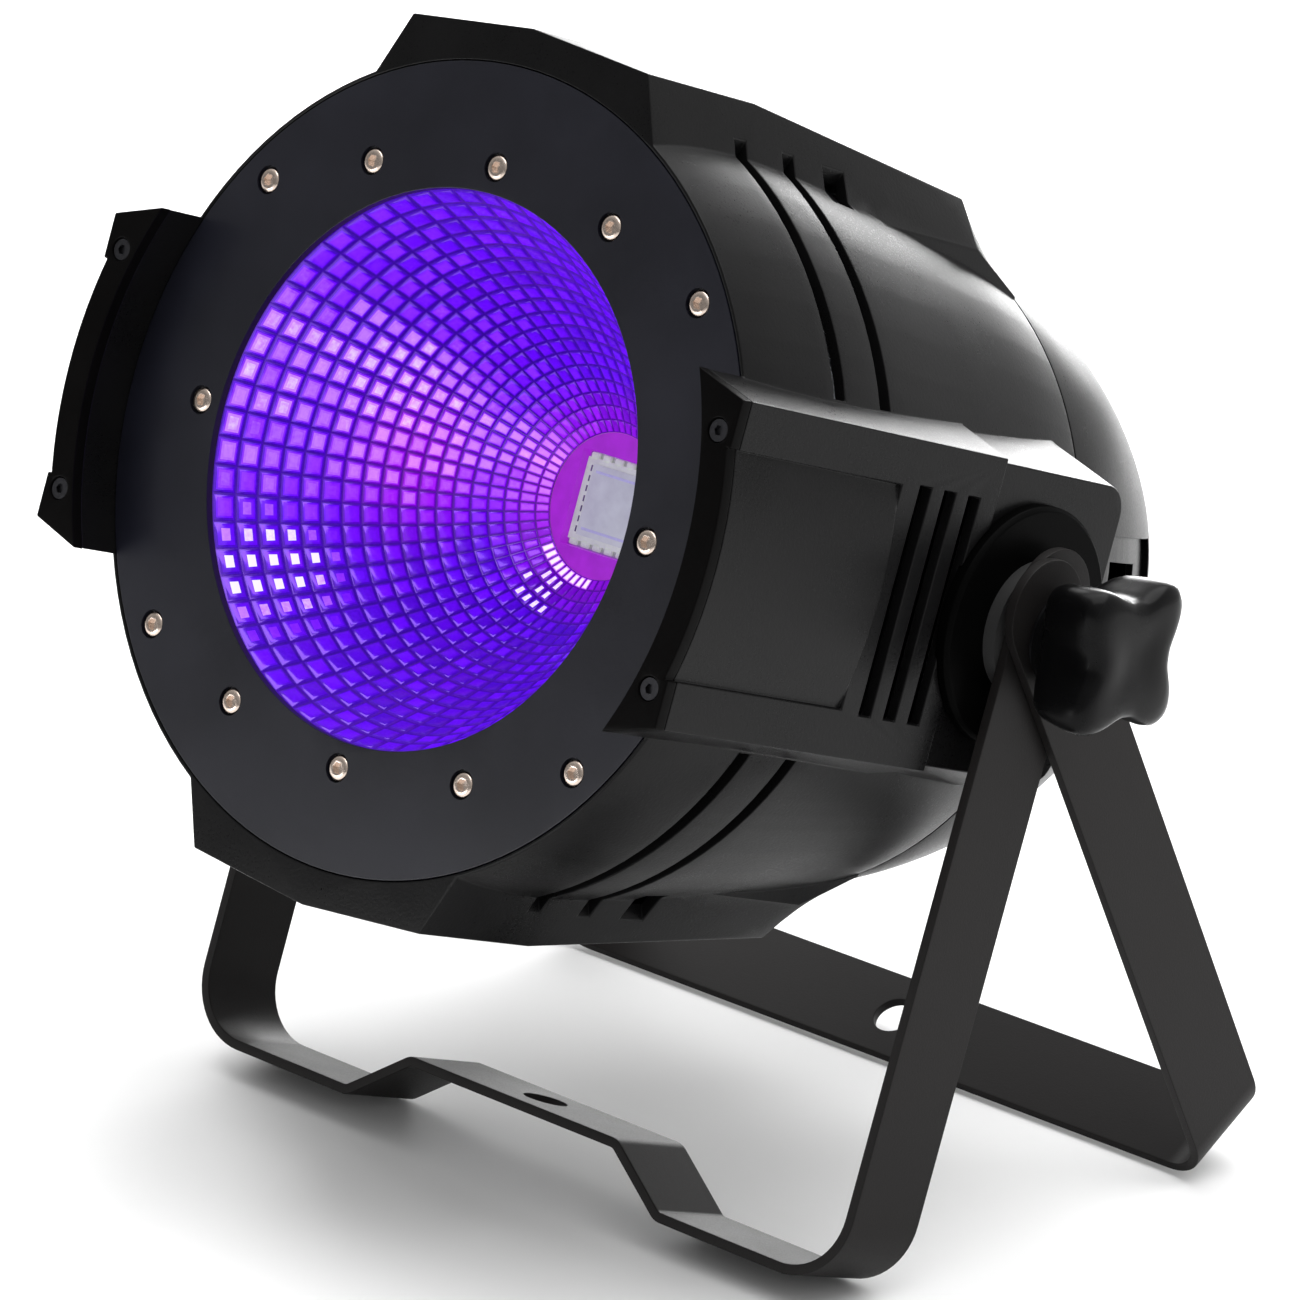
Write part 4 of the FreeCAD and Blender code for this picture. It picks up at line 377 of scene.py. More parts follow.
@dataclass(frozen=True)
class PaintFinish(Finish):
    """Sprayed paint: broad tone drift, fine grain and an orange-peel surface.

    Attributes:
        tone: the mean colour.
        drift: share by which broad patches are lighter or darker.
        gloss: mean roughness.
        peel: size of the orange-peel waves in millimetres.
        depth: height of those waves in millimetres.
        specular: strength of plain reflections.
    """

    tone: Colour = (0.02, 0.02, 0.022)
    drift: float = 0.25
    gloss: float = 0.42
    peel: float = 0.9
    depth: float = 0.02
    specular: float = 0.4

    def build(self, recipe: Recipe) -> None:
        """Adds the paint's colour, gloss and surface."""
        broad = recipe.noise(38.0, 3.0)
        grain = recipe.noise(0.55, 2.0)
        dark, pale = (shaded(self.tone, share) for share in (1 - self.drift, 1 + self.drift))
        recipe.tint("Base Color", recipe.sum(broad, grain, 0.18), (0.35, dark), (0.8, pale))
        recipe.feed(recipe.span(recipe.sum(grain, broad, 0.7), self.gloss - 0.05,
                                self.gloss + 0.07, 0.55, 1.15), "Roughness")
        recipe.bump(recipe.sum(recipe.noise(self.peel, 1.0), grain, 0.3), self.depth)
        recipe.set(Specular_IOR_Level=self.specular)


@dataclass(frozen=True)
class MetalFinish(Finish):
    """Bare or plated metal with drawn grain.

    Attributes:
        tone: the mean colour.
        gloss: mean roughness.
        grain: length of the grain in millimetres.
        stretch: scale of the grain along each axis.
        drift: share by which patches are lighter or darker.
    """

    tone: Colour = (0.55, 0.56, 0.58)
    gloss: float = 0.3
    grain: float = 3.0
    stretch: Point = (1.0, 1.0, 1.0)
    drift: float = 0.12

    def build(self, recipe: Recipe) -> None:
        """Adds the metal's colour, gloss and grain."""
        grain = recipe.noise(self.grain, 4.0, 0.65, self.stretch)
        dark = shaded(self.tone, 1 - self.drift)
        recipe.tint("Base Color", grain, (0.3, dark), (0.7, self.tone))
        recipe.feed(recipe.span(grain, self.gloss - 0.06, self.gloss + 0.1), "Roughness")
        recipe.bump(recipe.noise(self.grain * 0.2, 2.0), 0.008)
        recipe.set(Metallic=1.0)


@dataclass(frozen=True)
class PlasticFinish(Finish):
    """Moulded plastic: even colour with fine spark-eroded texture.

    Attributes:
        tone: the mean colour.
        gloss: mean roughness.
        texture: size of the texture's pits in millimetres.
        depth: depth of the pits in millimetres.
        coat: strength of a clear layer.
        specular: strength of plain reflections.
    """

    tone: Colour = (0.025, 0.025, 0.027)
    gloss: float = 0.4
    texture: float = 0.35
    depth: float = 0.012
    coat: float = 0.0
    specular: float = 0.35

    def build(self, recipe: Recipe) -> None:
        """Adds the plastic's colour, gloss and texture."""
        flow = recipe.noise(16.0, 3.0)
        pits = recipe.noise(self.texture, 2.0)
        dark, pale = shaded(self.tone, 0.85), shaded(self.tone, 1.15)
        recipe.tint("Base Color", recipe.sum(flow, pits, 0.12), (0.4, dark), (0.75, pale))
        recipe.feed(recipe.span(flow, self.gloss - 0.04, self.gloss + 0.06), "Roughness")
        recipe.bump(pits, self.depth)
        recipe.set(Coat_Weight=self.coat, Coat_Roughness=0.12, Specular_IOR_Level=self.specular)


@dataclass(frozen=True)
class FacetFinish(Finish):
    """Bright metal facets with the emitter's violet light painted on as a glow."""

    def build(self, recipe: Recipe) -> None:
        """Adds the facets' tint, painted light and polish."""
        speck = recipe.noise(1.1, 3.0, 0.6)
        level = recipe.sum(recipe.attribute("painted_glow"), speck, 0.12)
        warm = recipe.attribute("painted_warmth")
        cool = recipe.ramp(level, [(0.05, (0.012, 0.0, 0.11)), (0.28, (0.04, 0.0, 0.42)),
                                   (0.50, (0.12, 0.0, 0.95)), (0.70, (0.26, 0.025, 1.0)),
                                   (0.90, (0.60, 0.24, 1.0)), (1.0, (1.0, 0.92, 1.0))])
        hot = recipe.ramp(level, [(0.05, (0.03, 0.0, 0.09)), (0.35, (0.20, 0.0, 0.45)),
                                  (0.60, (0.42, 0.01, 0.85)), (0.92, (0.9, 0.32, 1.0)),
                                  (1.0, (1.0, 0.9, 1.0))])
        mix = recipe.nodes.new("ShaderNodeMix")
        mix.data_type = "RGBA"
        recipe.links.new(warm, mix.inputs["Factor"])
        recipe.links.new(cool, mix.inputs["A"])
        recipe.links.new(hot, mix.inputs["B"])
        recipe.feed(mix.outputs["Result"], "Emission Color")
        recipe.set(Emission_Strength=1.0, Metallic=0.8, Base_Color=(0.07, 0.02, 0.2, 1.0),
                   Coat_Weight=0.25, Coat_Roughness=0.08)
        recipe.feed(recipe.span(speck, 0.14, 0.24), "Roughness")
        recipe.bump(speck, 0.006)


@dataclass(frozen=True)
class GlowFinish(Finish):
    """A lit surface with slight unevenness.

    Attributes:
        tone: the light's colour.
        strength: the light's strength.
        base: the surface's own colour.
        patch: size of the unevenness in millimetres.
    """

    tone: Colour = (0.6, 0.65, 0.6)
    strength: float = 0.5
    base: Colour = (0.5, 0.5, 0.48)
    patch: float = 3.0

    def build(self, recipe: Recipe) -> None:
        """Adds the emitted light and the surface below it."""
        patch = recipe.noise(self.patch, 3.0)
        dark = shaded(self.tone, 0.82)
        recipe.tint("Emission Color", patch, (0.3, dark), (0.7, self.tone))
        recipe.tint("Base Color", patch, (0.3, self.base), (0.8, self.tone))
        recipe.feed(recipe.span(patch, 0.35, 0.5), "Roughness")
        recipe.bump(recipe.noise(self.patch * 0.3, 2.0), 0.01)
        recipe.set(Emission_Strength=self.strength)


@dataclass(frozen=True)
class HolderFinish(Finish):
    """Pale moulding with the emitter's light painted on it as a glow inside the reflector's neck.

    Attributes:
        tone: the moulding's own colour.
        light: colour of the painted light on it.
        reach: distance from the axis at which the painted light ends, in millimetres.
        fade: width of the painted light's edge, in millimetres.
        strength: the painted light's strength.
    """

    tone: Colour = (0.5, 0.48, 0.5)
    light: Colour = (0.36, 0.012, 0.58)
    reach: float = 21.3
    fade: float = 0.5
    strength: float = 0.9

    def build(self, recipe: Recipe) -> None:
        """Adds the moulding, and the painted light inside the neck."""
        patch = recipe.noise(6.0, 3.0)
        dark = shaded(self.light, 0.75)
        recipe.tint("Emission Color", patch, (0.3, dark), (0.7, self.light))
        off_axis = recipe.off_axis(LampFrame.from_model())
        edge = (self.reach - self.fade, self.reach)
        recipe.feed(recipe.span(off_axis, self.strength, 0.0, *edge), "Emission Strength")
        # Inside the neck the moulding's own colour gives way to dark painted light.
        unlit = recipe.span(off_axis, 0.0, 1.0, *edge)
        recipe.tint("Base Color", unlit, (0.0, shaded(self.light, 0.3)), (1.0, self.tone))
        recipe.feed(recipe.span(patch, 0.4, 0.55), "Roughness")
        recipe.bump(recipe.noise(0.8, 2.0), 0.01)


class Coat(Enum):
    """The finishes of this lamp."""

    CASTING = PaintFinish(
        "casting_black", tone=(0.0044, 0.0043, 0.0045), gloss=0.3, peel=1.1, depth=0.03,
        specular=0.11)
    BEZEL = PaintFinish(
        "bezel_black", tone=(0.0058, 0.0060, 0.0105), gloss=0.33, peel=0.7, depth=0.012,
        specular=0.34)
    POD = PaintFinish(
        "pod_plate_black", tone=(0.0024, 0.0022, 0.0022), gloss=0.33, peel=0.7, depth=0.014,
        specular=0.03)
    # Near-black paint with little gloss: painted shade where the pivot discs lie in shadow.
    DISC_PAINTED_SHADE = PaintFinish("disc_black_painted_shade", tone=(0.001, 0.001, 0.001), peel=0.8, specular=0.02)
    BRACKET = PaintFinish(
        "bracket_paint", tone=(0.0098, 0.0088, 0.0086), gloss=0.5, peel=0.6, depth=0.03,
        specular=0.12, drift=0.18)
    REFLECTOR_SHELL = MetalFinish("reflector_shell", tone=(0.75, 0.76, 0.8), gloss=0.2)
    SCREW = MetalFinish("screw_zinc", tone=(0.72, 0.6, 0.52), gloss=0.2, grain=0.8)
    DARK_SCREW = MetalFinish("screw_black", tone=(0.05, 0.05, 0.055), gloss=0.34, grain=0.8)
    STEEL = MetalFinish("plain_steel", tone=(0.5, 0.51, 0.53), grain=2.0, stretch=(1.0, 6.0, 1.0))
    ALUMINIUM = MetalFinish(
        "extruded_aluminium", tone=(0.7, 0.71, 0.73), gloss=0.34, stretch=(1.0, 1.0, 8.0))
    BRASS = MetalFinish("turned_brass", tone=(0.75, 0.55, 0.25), gloss=0.26, grain=0.9)
    BLACK_PLASTIC = PlasticFinish("black_plastic", tone=(0.01, 0.01, 0.011), gloss=0.38)
    KNOB = PlasticFinish(
        "knob_plastic", tone=(0.003, 0.003, 0.0032), gloss=0.25, texture=0.5, depth=0.01,
        specular=0.1)
    GREY_PLASTIC = PlasticFinish("grey_plastic", tone=(0.085, 0.087, 0.092), gloss=0.5)
    BLUE_PLASTIC = PlasticFinish("blue_plastic", tone=(0.015, 0.06, 0.27), gloss=0.36)
    PALE_PLASTIC = PlasticFinish("pale_plastic", tone=(0.3, 0.305, 0.31))
    BOARD = PlasticFinish(
        "solder_mask", tone=(0.01, 0.09, 0.035), gloss=0.3, texture=2.2, coat=0.4)
    WINDOW = PlasticFinish(
        "display_window", tone=(0.003, 0.0035, 0.006), gloss=0.16, texture=4.0, depth=0.002,
        specular=0.12)
    RUBBER = PlasticFinish("gasket_rubber", tone=(0.006, 0.006, 0.006), gloss=0.7, texture=0.8)
    FACET = FacetFinish("facets_painted_violet_light")
    CHIP = GlowFinish(
        "emitter_resin", tone=(0.40, 0.43, 0.40), strength=0.62, base=(0.36, 0.38, 0.36),
        patch=4.0)
    PAD = GlowFinish(
        "emitter_lines", tone=(0.36, 0.36, 0.5), strength=0.6, base=(0.3, 0.3, 0.4), patch=1.5)
    # The board and its contact gaps glow as painted light; of the emitter, only the chip is a lamp.
    LIT_BOARD = GlowFinish(
        "lit_ceramic", tone=(0.46, 0.50, 0.43), strength=0.62, base=(0.4, 0.42, 0.38), patch=2.6)
    GAP = GlowFinish(
        "contact_gaps", tone=(0.1, 0.06, 0.16), strength=0.5, base=(0.05, 0.04, 0.08), patch=2.0)
    HOLDER = HolderFinish("holder_moulding")
    DIGIT = GlowFinish(
        "display_digits", tone=(0.05, 0.35, 1.0), strength=2.2, base=(0.02, 0.1, 0.3), patch=2.0)

    def material(self) -> bpy.types.Material:
        """Gives the finish's material."""
        return self.value.material()


# ---- reflector and emitter ----
@dataclass
class SubAssembly:
    """Pieces that are made in the lamp's own axes.

    Attributes:
        place: the lamp's frame.
    """

    place: LampFrame

    def finish(self, shape: Shape, name: str, coats: Sequence[Coat], slot: str,
               *replaces: str, body: str = "head", sharp: float = 35.0) -> None:
        """Finishes one piece; what the arguments mean stands at finish_piece."""
        finish_piece(shape, name, body, coats, slot, self.place.matrix, sharp, replaces)


@dataclass
class Reflector(SubAssembly):
    """The faceted bowl with its flange; its facets carry painted light.

    Attributes:
        mouth: inside radius at the front.
        neck: inside radius at the back.
        front: place of the mouth.
        back: place of the neck.
        wall: thickness of the metal.
        flange: radius of the flange.
        columns: number of facets round the bowl.
        rings: number of facets from mouth to neck.
        crowding: ratio of the last ring's length to the first one's.
        steps: width and rise of each step up to a facet's middle, as shares of its shorter
            side, then the step's shares of the facet's and of the middle's painted light.
        collar: depth of the plain band behind the flange.
        pale: middle and width of the hill of pale painted highlights, in degrees.
        vivid: middle and width of the hill of vivid painted light, in degrees.
        streak: middles and widths of the warm painted reflection, in degrees and in depth.
        sparks: middles and widths of the white painted highlights, in degrees and in depth.
        glint: first and last degree of the bright painted arc in the last ring.
        scatter: first and last degree of the single painted sparks beside that arc.
        scatter_rings: number of rings that hold those painted sparks.
        seed: start of the facets' slight differences.
    """

    mouth: float = 77.3
    neck: float = 21.0
    front: float = 2.6
    back: float = 82.0
    wall: float = 1.4
    flange: float = 93.8
    columns: int = 60
    rings: int = 18
    crowding: float = 0.62
    steps: tuple[tuple[float, float, float, float], ...] = (
        (0.09, 0.0, 0.22, 0.0), (0.10, 0.05, 0.60, 0.0), (0.10, 0.02, 0.7, 0.3),
        (0.15, 0.012, 0.0, 1.0))
    collar: float = 3.0
    pale: Pair = (157.0, 18.0)
    vivid: Pair = (184.0, 20.0)
    streak: Patch = ((182.0, 24.0), (0.66, 0.19))
    sparks: Patch = ((215.0, 13.0), (0.19, 0.20))
    glint: Pair = (222.0, 276.0)
    scatter: Pair = (232.0, 262.0)
    scatter_rings: int = 4
    seed: int = 11

    def radius_at(self, y: float) -> float:
        """Gives the bowl's inside radius at a depth."""
        share = (y - self.front) / (self.back - self.front)
        return math.sqrt(self.mouth ** 2 - (self.mouth ** 2 - self.neck ** 2) * share)

    def inner_profile(self) -> list[Pair]:
        """Gives the bowl's inside as points of (radius, y), one between two rings of facets."""
        fine = 400
        points = [(self.radius_at(y), y) for y in
                  (self.front + (self.back - self.front) * i / fine for i in range(fine + 1))]
        lengths = [0.0]
        for first, second in zip(points, points[1:]):
            lengths.append(lengths[-1] + math.dist(first, second))
        steps = [self.crowding ** (ring / (self.rings - 1)) for ring in range(self.rings)]
        outline = [points[0]]
        reached = 0.0
        for step in steps[:-1]:
            reached += step / sum(steps) * lengths[-1]
            outline.append(next(p for p, length in zip(points, lengths) if length >= reached))
        return outline + [points[-1]]

    @staticmethod
    def hill(value: float, middle: float, width: float) -> float:
        """Gives a smooth hill that is 1 at its middle and falls off over a width."""
        return math.exp(-((value - middle) / width) ** 2)

    def patch(self, angle: float, depth: float, where: Patch) -> float:
        """Gives a smooth patch round an angle and a depth that is 1 at its middle."""
        return self.hill(angle, *where[0]) * self.hill(depth, *where[1])

    def build(self) -> None:
        """Makes the bowl, its facets with their painted light and its flange."""
        inner = self.inner_profile()
        outline = inner + [(self.neck + self.wall, self.back)]
        outline += [(radius + self.wall, y) for radius, y in reversed(inner[3:-1:3])]
        collar = self.front + self.collar
        outline += [(self.radius_at(collar) + self.wall, collar),
                    (self.mouth + self.wall, self.front + self.wall),
                    (self.flange, self.front + self.wall), (self.flange, self.front)]
        shape = bmesh.new()
        lathe(shape, outline, self.columns, closed=True)
        painted_glow = shape.faces.layers.float.new("painted_glow")
        painted_warmth = shape.faces.layers.float.new("painted_warmth")
        rings: list[list[Face]] = [[] for _ in range(self.rings)]
        for face in shape.faces:
            face.material_index = 1
            if self.is_inside(face):
                rings[self.cell(face, inner)[0]].append(face)
        luck = random.Random(self.seed)
        light = {(ring, column): self.light(ring, column, inner, luck)
                 for ring in range(self.rings) for column in range(self.columns)}
        # Steps up each facet share out its painted light and highlight; the middle holds its spark.
        for facets in rings:
            size = min(edge.calc_length() for edge in facets[0].edges)
            shares = {face: (0.0, 0.0) for face in facets}
            for width, rise, *share in self.steps:
                made = bmesh.ops.inset_individual(shape, faces=facets, thickness=size * width,
                                                  depth=size * rise)["faces"]
                shares.update({face: share for face in made})
            for face, (of_body, of_peak) in shares.items():
                body, peak, spark, heat = light[self.cell(face, inner)]
                face.material_index = 0
                face[painted_glow] = body * of_body + peak * of_peak or spark
                face[painted_warmth] = heat
        self.finish(shape, "faceted_reflector", [Coat.FACET, Coat.REFLECTOR_SHELL], "reflector",
                    "reflector", sharp=50.0)

    def cell(self, face: Face, inner: Sequence[Pair]) -> tuple[int, int]:
        """Gives the ring and the column of the facet that a face with painted light belongs to."""
        centre = face.calc_center_median()
        ring = sum(1 for _, y in inner[1:-1] if centre.y > y)
        angle = math.atan2(centre.z, centre.x) % math.tau
        return ring, int(angle / math.tau * self.columns)

    def light(self, ring: int, column: int, inner: Sequence[Pair],
              luck: random.Random) -> tuple[float, float, float, float]:
        """Gives one facet's painted light: how bright and how warm it is, each from 0 to about 1.

        Args:
            ring: the facet's ring, 0 at the mouth.
            column: its column, anticlockwise from the right.
            inner: the bowl's inside outline.
            luck: source of slight differences.

        Returns:
            Painted brightness of the facet, its middle and the middle's spark, and its warm share.
        """
        # Angles run anticlockwise from the right; depth is 0 at the mouth and 1 at the neck.
        angle = (column + 0.5) * 360.0 / self.columns
        depth = (inner[ring][1] + inner[ring + 1][1]) / 2 / self.back
        # Painted light: bright bands by angle, lighter at the right, darker low and at the top.
        pale, vivid = self.hill(angle, *self.pale), self.hill(angle, *self.vivid)
        body = 0.27 + 0.10 * pale + 0.26 * vivid * (1.0 - 0.35 * depth)
        body += 0.22 * max(self.hill(angle, 8.0, 34.0), self.hill(angle, 366.0, 30.0))
        body -= 0.08 * self.hill(angle, 285.0, 40.0) + 0.05 * self.hill(angle, 80.0, 22.0)
        peak = body + 0.10 + 0.08 * vivid + 0.11 * self.hill(angle, 124.0, 16.0)
        peak += pale * (0.20 + 0.22 * self.hill(depth, 0.5, 0.24))
        body = max(0.03, body + luck.uniform(-0.05, 0.05))
        peak = max(0.05, min(0.83, peak + luck.uniform(-0.10, 0.08)))
        streak = self.patch(angle, depth, self.streak)
        heat = min(1.0, 0.95 * streak + max(0.0, depth - 0.86) * 6.0 + luck.uniform(0.0, 0.08))
        spark = peak * 1.06
        spot = self.patch(angle, depth, self.sparks)
        spark = max(spark, min(1.2, 1.35 * math.sqrt(spot) * luck.uniform(0.82, 1.05)))
        if self.glint[0] < angle < self.glint[1] and ring == self.rings - 1:
            body, peak, spark = 0.5, 0.88, 0.98
        elif (self.scatter[0] < angle < self.scatter[1]
              and ring >= self.rings - self.scatter_rings and luck.random() < 0.5):
            spark = 0.92
        return body, peak, spark, heat

    def is_inside(self, face: Face) -> bool:
        """Tells whether a face belongs to the bowl's inner side, with its painted light."""
        centre = face.calc_center_median()
        outward = Vector((centre.x, 0.0, centre.z)).normalized()
        inside = self.front < centre.y < self.back
        return inside and face.normal.dot(outward) < -0.2


@dataclass
class Emitter(SubAssembly):
    """The lit square on its toothed ceramic board.

    Attributes:
        side: side of the lit square.
        face_y: place of the lit face.
        board: side of the ceramic board.
        teeth: number of contact teeth along the board's top and bottom.
        tooth: height of a tooth.
        slots: number of dark gaps down each side of the lit square.
        thickness: of the board.
    """

    side: float = 20.6
    face_y: float = 84.0
    board: float = 26.8
    teeth: int = 6
    tooth: float = 1.5
    slots: int = 7
    thickness: float = 1.1

    def build(self) -> None:
        """Makes the emitter's face and board."""
        chip = bmesh.new()
        rounded_box(chip, (self.side, 0.5, self.side), (0, self.face_y + 0.27, 0), 0.2)
        for row in (-1, 1):
            line = rounded_box(chip, (self.side * 0.86, 0.1, 0.8),
                               (0, self.face_y + 0.04, row * self.side * 0.4), 0.04, 1)
            set_material(line, 1)
        self.finish(chip, "emitter_chip", [Coat.CHIP, Coat.PAD], "phosphor", "cob_emitter")
        board = bmesh.new()
        middle_y, root = self.face_y + 1.2, 0.8
        rounded_box(board, (self.board, self.thickness, self.board - 2 * self.tooth),
                    (0, middle_y, 0), 0.15)
        pitch, slot_pitch = self.board / self.teeth, self.side / self.slots
        for side in (-1, 1):
            for tooth in range(self.teeth):
                x = (tooth + 0.5) * pitch - self.board / 2
                z = side * (self.board - self.tooth - root) / 2
                rounded_box(board, (pitch * 0.66, self.thickness, self.tooth + root),
                            (x, middle_y, z), 0.4)
            for slot in range(self.slots):
                z = (slot + 0.5) * slot_pitch - self.side / 2
                gap = rounded_box(board, (0.55, 0.16, slot_pitch * 0.6),
                                  (side * (self.side / 2 + 0.9), self.face_y + 0.64, z), 0.05, 1)
                set_material(gap, 1)
        self.finish(board, "emitter_board", [Coat.LIT_BOARD, Coat.GAP], "ceramic", "cob_board")


# ---- bezel ----
@dataclass
class Bezel(SubAssembly):
    """The front ring's screws and the seal round its rim.

    Attributes:
        aperture: radius of the opening.
        rim: radius of the ring.
        head: radius of a screw's head.
        socket: half width of the hexagon socket.
        sides: number of sides of a head.
        steps: from the rim in and from the opening out to the three rings of screws.
        seal: the seal's distance from the rim, its half thickness and its place.
        seal_sides: number of sides of the seal's section and of its turn.
    """

    aperture: float = 77.0
    rim: float = 112.0
    head: float = 3.72
    socket: float = 1.5
    sides: int = 24
    steps: Point = (9.0, 12.0, 7.3)
    seal: Point = (0.75, 0.55, 0.95)
    seal_sides: tuple[int, int] = (10, 160)

    def screw_places(self) -> list[Pair]:
        """Gives the screws' places as (x, z); angles run clockwise from the top."""
        outer, middle, inner = self.steps
        groups = ((self.rim - outer, (51.5, 128.5, 231.5, 308.5)),
                  (self.aperture + middle, (30.0, 150.0, 210.0, 330.0)),
                  (self.aperture + inner, (0.0, 90.0, 180.0, 270.0)))
        return [(radius * math.sin(math.radians(angle)), radius * math.cos(math.radians(angle)))
                for radius, angles in groups for angle in angles]

    def screw(self, x: float, z: float) -> Shape:
        """Makes one button-head screw with a hexagon socket at a place (x, z)."""
        part = bmesh.new()
        outline = [(0.0, 1.35), (self.socket, 1.35), (self.socket, 0.12), (2.05, 0.05),
                   (2.7, 0.14), (3.25, 0.42), (3.6, 0.8), (self.head, 1.15), (self.head, 1.55),
                   (2.0, 1.58), (2.0, 9.0), (1.6, 9.3), (0.0, 9.3)]
        lathe(part, outline, self.sides)
        for vertex in part.verts:
            radius = math.hypot(vertex.co.x, vertex.co.z)
            if 0.1 < radius < self.socket + 0.01 and vertex.co.y < 2.0:
                turn = math.atan2(vertex.co.z, vertex.co.x) % (math.pi / 3) - math.pi / 6
                scale = 1.0 / math.cos(turn)
                vertex.co.x *= scale
                vertex.co.z *= scale
        bmesh.ops.translate(part, vec=(x, 0, z), verts=part.verts)
        return part

    def build(self) -> None:
        """Makes the screws and the seal."""
        screws = bmesh.new()
        for x, z in self.screw_places():
            add_part(screws, self.screw(x, z))
        seal = bmesh.new()
        gap, half, seal_y = self.seal
        section, turn = self.seal_sides
        lathe(seal, [(self.rim + gap + half * math.cos(step * math.tau / section),
                      seal_y + half * math.sin(step * math.tau / section))
                     for step in range(section)], turn, closed=True)
        self.finish(screws, "bezel_socket_screws", [Coat.SCREW], "screw", "bezel_screws",
                    sharp=30.0)
        self.finish(seal, "bezel_seal", [Coat.RUBBER], "black_plastic")


# ---- clamp knobs ----
@dataclass
class ClampKnob(SubAssembly):
    """A moulded knob with four round lobes.

    Attributes:
        side: -1 for the left knob and 1 for the right one.
        start: inner end of the knob from the lamp's middle.
        pivot_y: place of its axis.
        lobe_rise: how far a lobe stands out from the core.
        lobes: number of lobes.
        turn: angle of the first lobe in degrees.
        sides: number of sides of the outline.
        stations: place along the axis, core radius and share of the lobes, ring by ring.
    """

    side: int = 1
    start: float = 133.35
    pivot_y: float = 124.0
    lobe_rise: float = 9.6
    lobes: int = 4
    turn: float = 57.0
    sides: int = 96
    stations: tuple[Point, ...] = (
        (0.0, 12.6, 0.0), (0.5, 13.8, 0.0), (3.2, 13.9, 0.0), (4.0, 14.3, 0.16),
        (5.0, 14.8, 0.56), (6.6, 15.4, 0.80), (9.0, 15.9, 0.90), (13.0, 16.2, 0.95),
        (18.0, 16.5, 0.99), (21.5, 16.6, 0.99), (23.6, 16.3, 0.96), (25.0, 15.6, 0.88),
        (25.9, 14.5, 0.76), (26.35, 12.8, 0.58), (26.4, 10.2, 0.34), (26.1, 7.4, 0.14),
        (25.7, 4.4, 0.03), (25.55, 1.8, 0.0))

    def outline(self, angle: float) -> float:
        """Gives how much of a lobe stands at an angle, from 0 to 1."""
        wave = (1 + math.cos(self.lobes * (angle - math.radians(self.turn)))) / 2
        return wave ** 1.35

    def build(self) -> None:
        """Makes the knob by raising one ring from station to station."""
        shape = bmesh.new()
        bmesh.ops.create_circle(shape, cap_ends=True, segments=self.sides, radius=1.0)
        self.shape_ring(list(shape.verts), self.stations[0])
        rim = list(shape.edges)
        for station in self.stations[1:]:
            grown = bmesh.ops.extrude_edge_only(shape, edges=rim)["geom"]
            ring = [item for item in grown if isinstance(item, Vertex)]
            rim = [item for item in grown if isinstance(item, bmesh.types.BMEdge)
                   and all(vertex in ring for vertex in item.verts)]
            self.shape_ring(ring, station)
        bmesh.ops.contextual_create(shape, geom=rim)
        bmesh.ops.recalc_face_normals(shape, faces=shape.faces)
        side = "right" if self.side > 0 else "left"
        self.finish(shape, f"{side}_lobed_knob", [Coat.KNOB], "black_plastic", f"{side}_knob",
                    body=f"{side}_knob", sharp=60.0)

    def shape_ring(self, ring: Sequence[Vertex],
                   station: Point) -> None:
        """Sets one ring of vertices to a station's outline.

        Args:
            ring: the vertices.
            station: place along the axis, core radius and share of the lobes.
        """
        along, core, share = station
        for vertex in ring:
            if abs(vertex.co.z) < 1e-9 and abs(math.hypot(vertex.co.x, vertex.co.y) - 1) < 1e-3:
                angle = math.atan2(vertex.co.y, vertex.co.x)
            else:
                angle = math.atan2(vertex.co.z, vertex.co.y - self.pivot_y)
            radius = core + self.lobe_rise * share * self.outline(angle)
            vertex.co = (self.side * (self.start + along),
                         self.pivot_y + radius * math.cos(angle), radius * math.sin(angle))


# ---- rear controls ----
@dataclass
class Display(SubAssembly):
    """Lit digits behind the display's window.

    Attributes:
        digits: the plain number shown.
        height: height of a digit.
        pitch: distance between digits.
        centre_z: height of the display's middle.
        face_y: place of the window's outer face.
        stroke: width of a bar.
        segments: the bars that make each digit, lettered clockwise from the top.
    """

    digits: str = "001"
    height: float = 9.0
    pitch: float = 8.4
    centre_z: float = 34.0
    face_y: float = 243.6
    stroke: float = 0.9
    segments: dict[str, str] = field(default_factory=lambda: {"0": "abcdef", "1": "bc"})

    def build(self) -> None:
        """Makes the digits from short bars."""
        shape = bmesh.new()
        half, width = self.height / 2, self.height * 0.27
        bars = {"a": (0, half, True), "b": (width, half / 2, False), "c": (width, -half / 2, False),
                "d": (0, -half, True), "e": (-width, -half / 2, False),
                "f": (-width, half / 2, False)}
        for place_number, digit in enumerate(self.digits):
            # Seen from behind, the lamp's right is on the left.
            x = -(place_number - (len(self.digits) - 1) / 2) * self.pitch
            for letter in self.segments[digit]:
                dx, dz, level = bars[letter]
                size = ((width * 1.6, 0.1, self.stroke) if level
                        else (self.stroke, 0.1, half * 0.84))
                rounded_box(shape, size, (x - dx, self.face_y - 0.02, self.centre_z + dz), 0.04, 1)
        self.finish(shape, "display_digits", [Coat.DIGIT], "window")


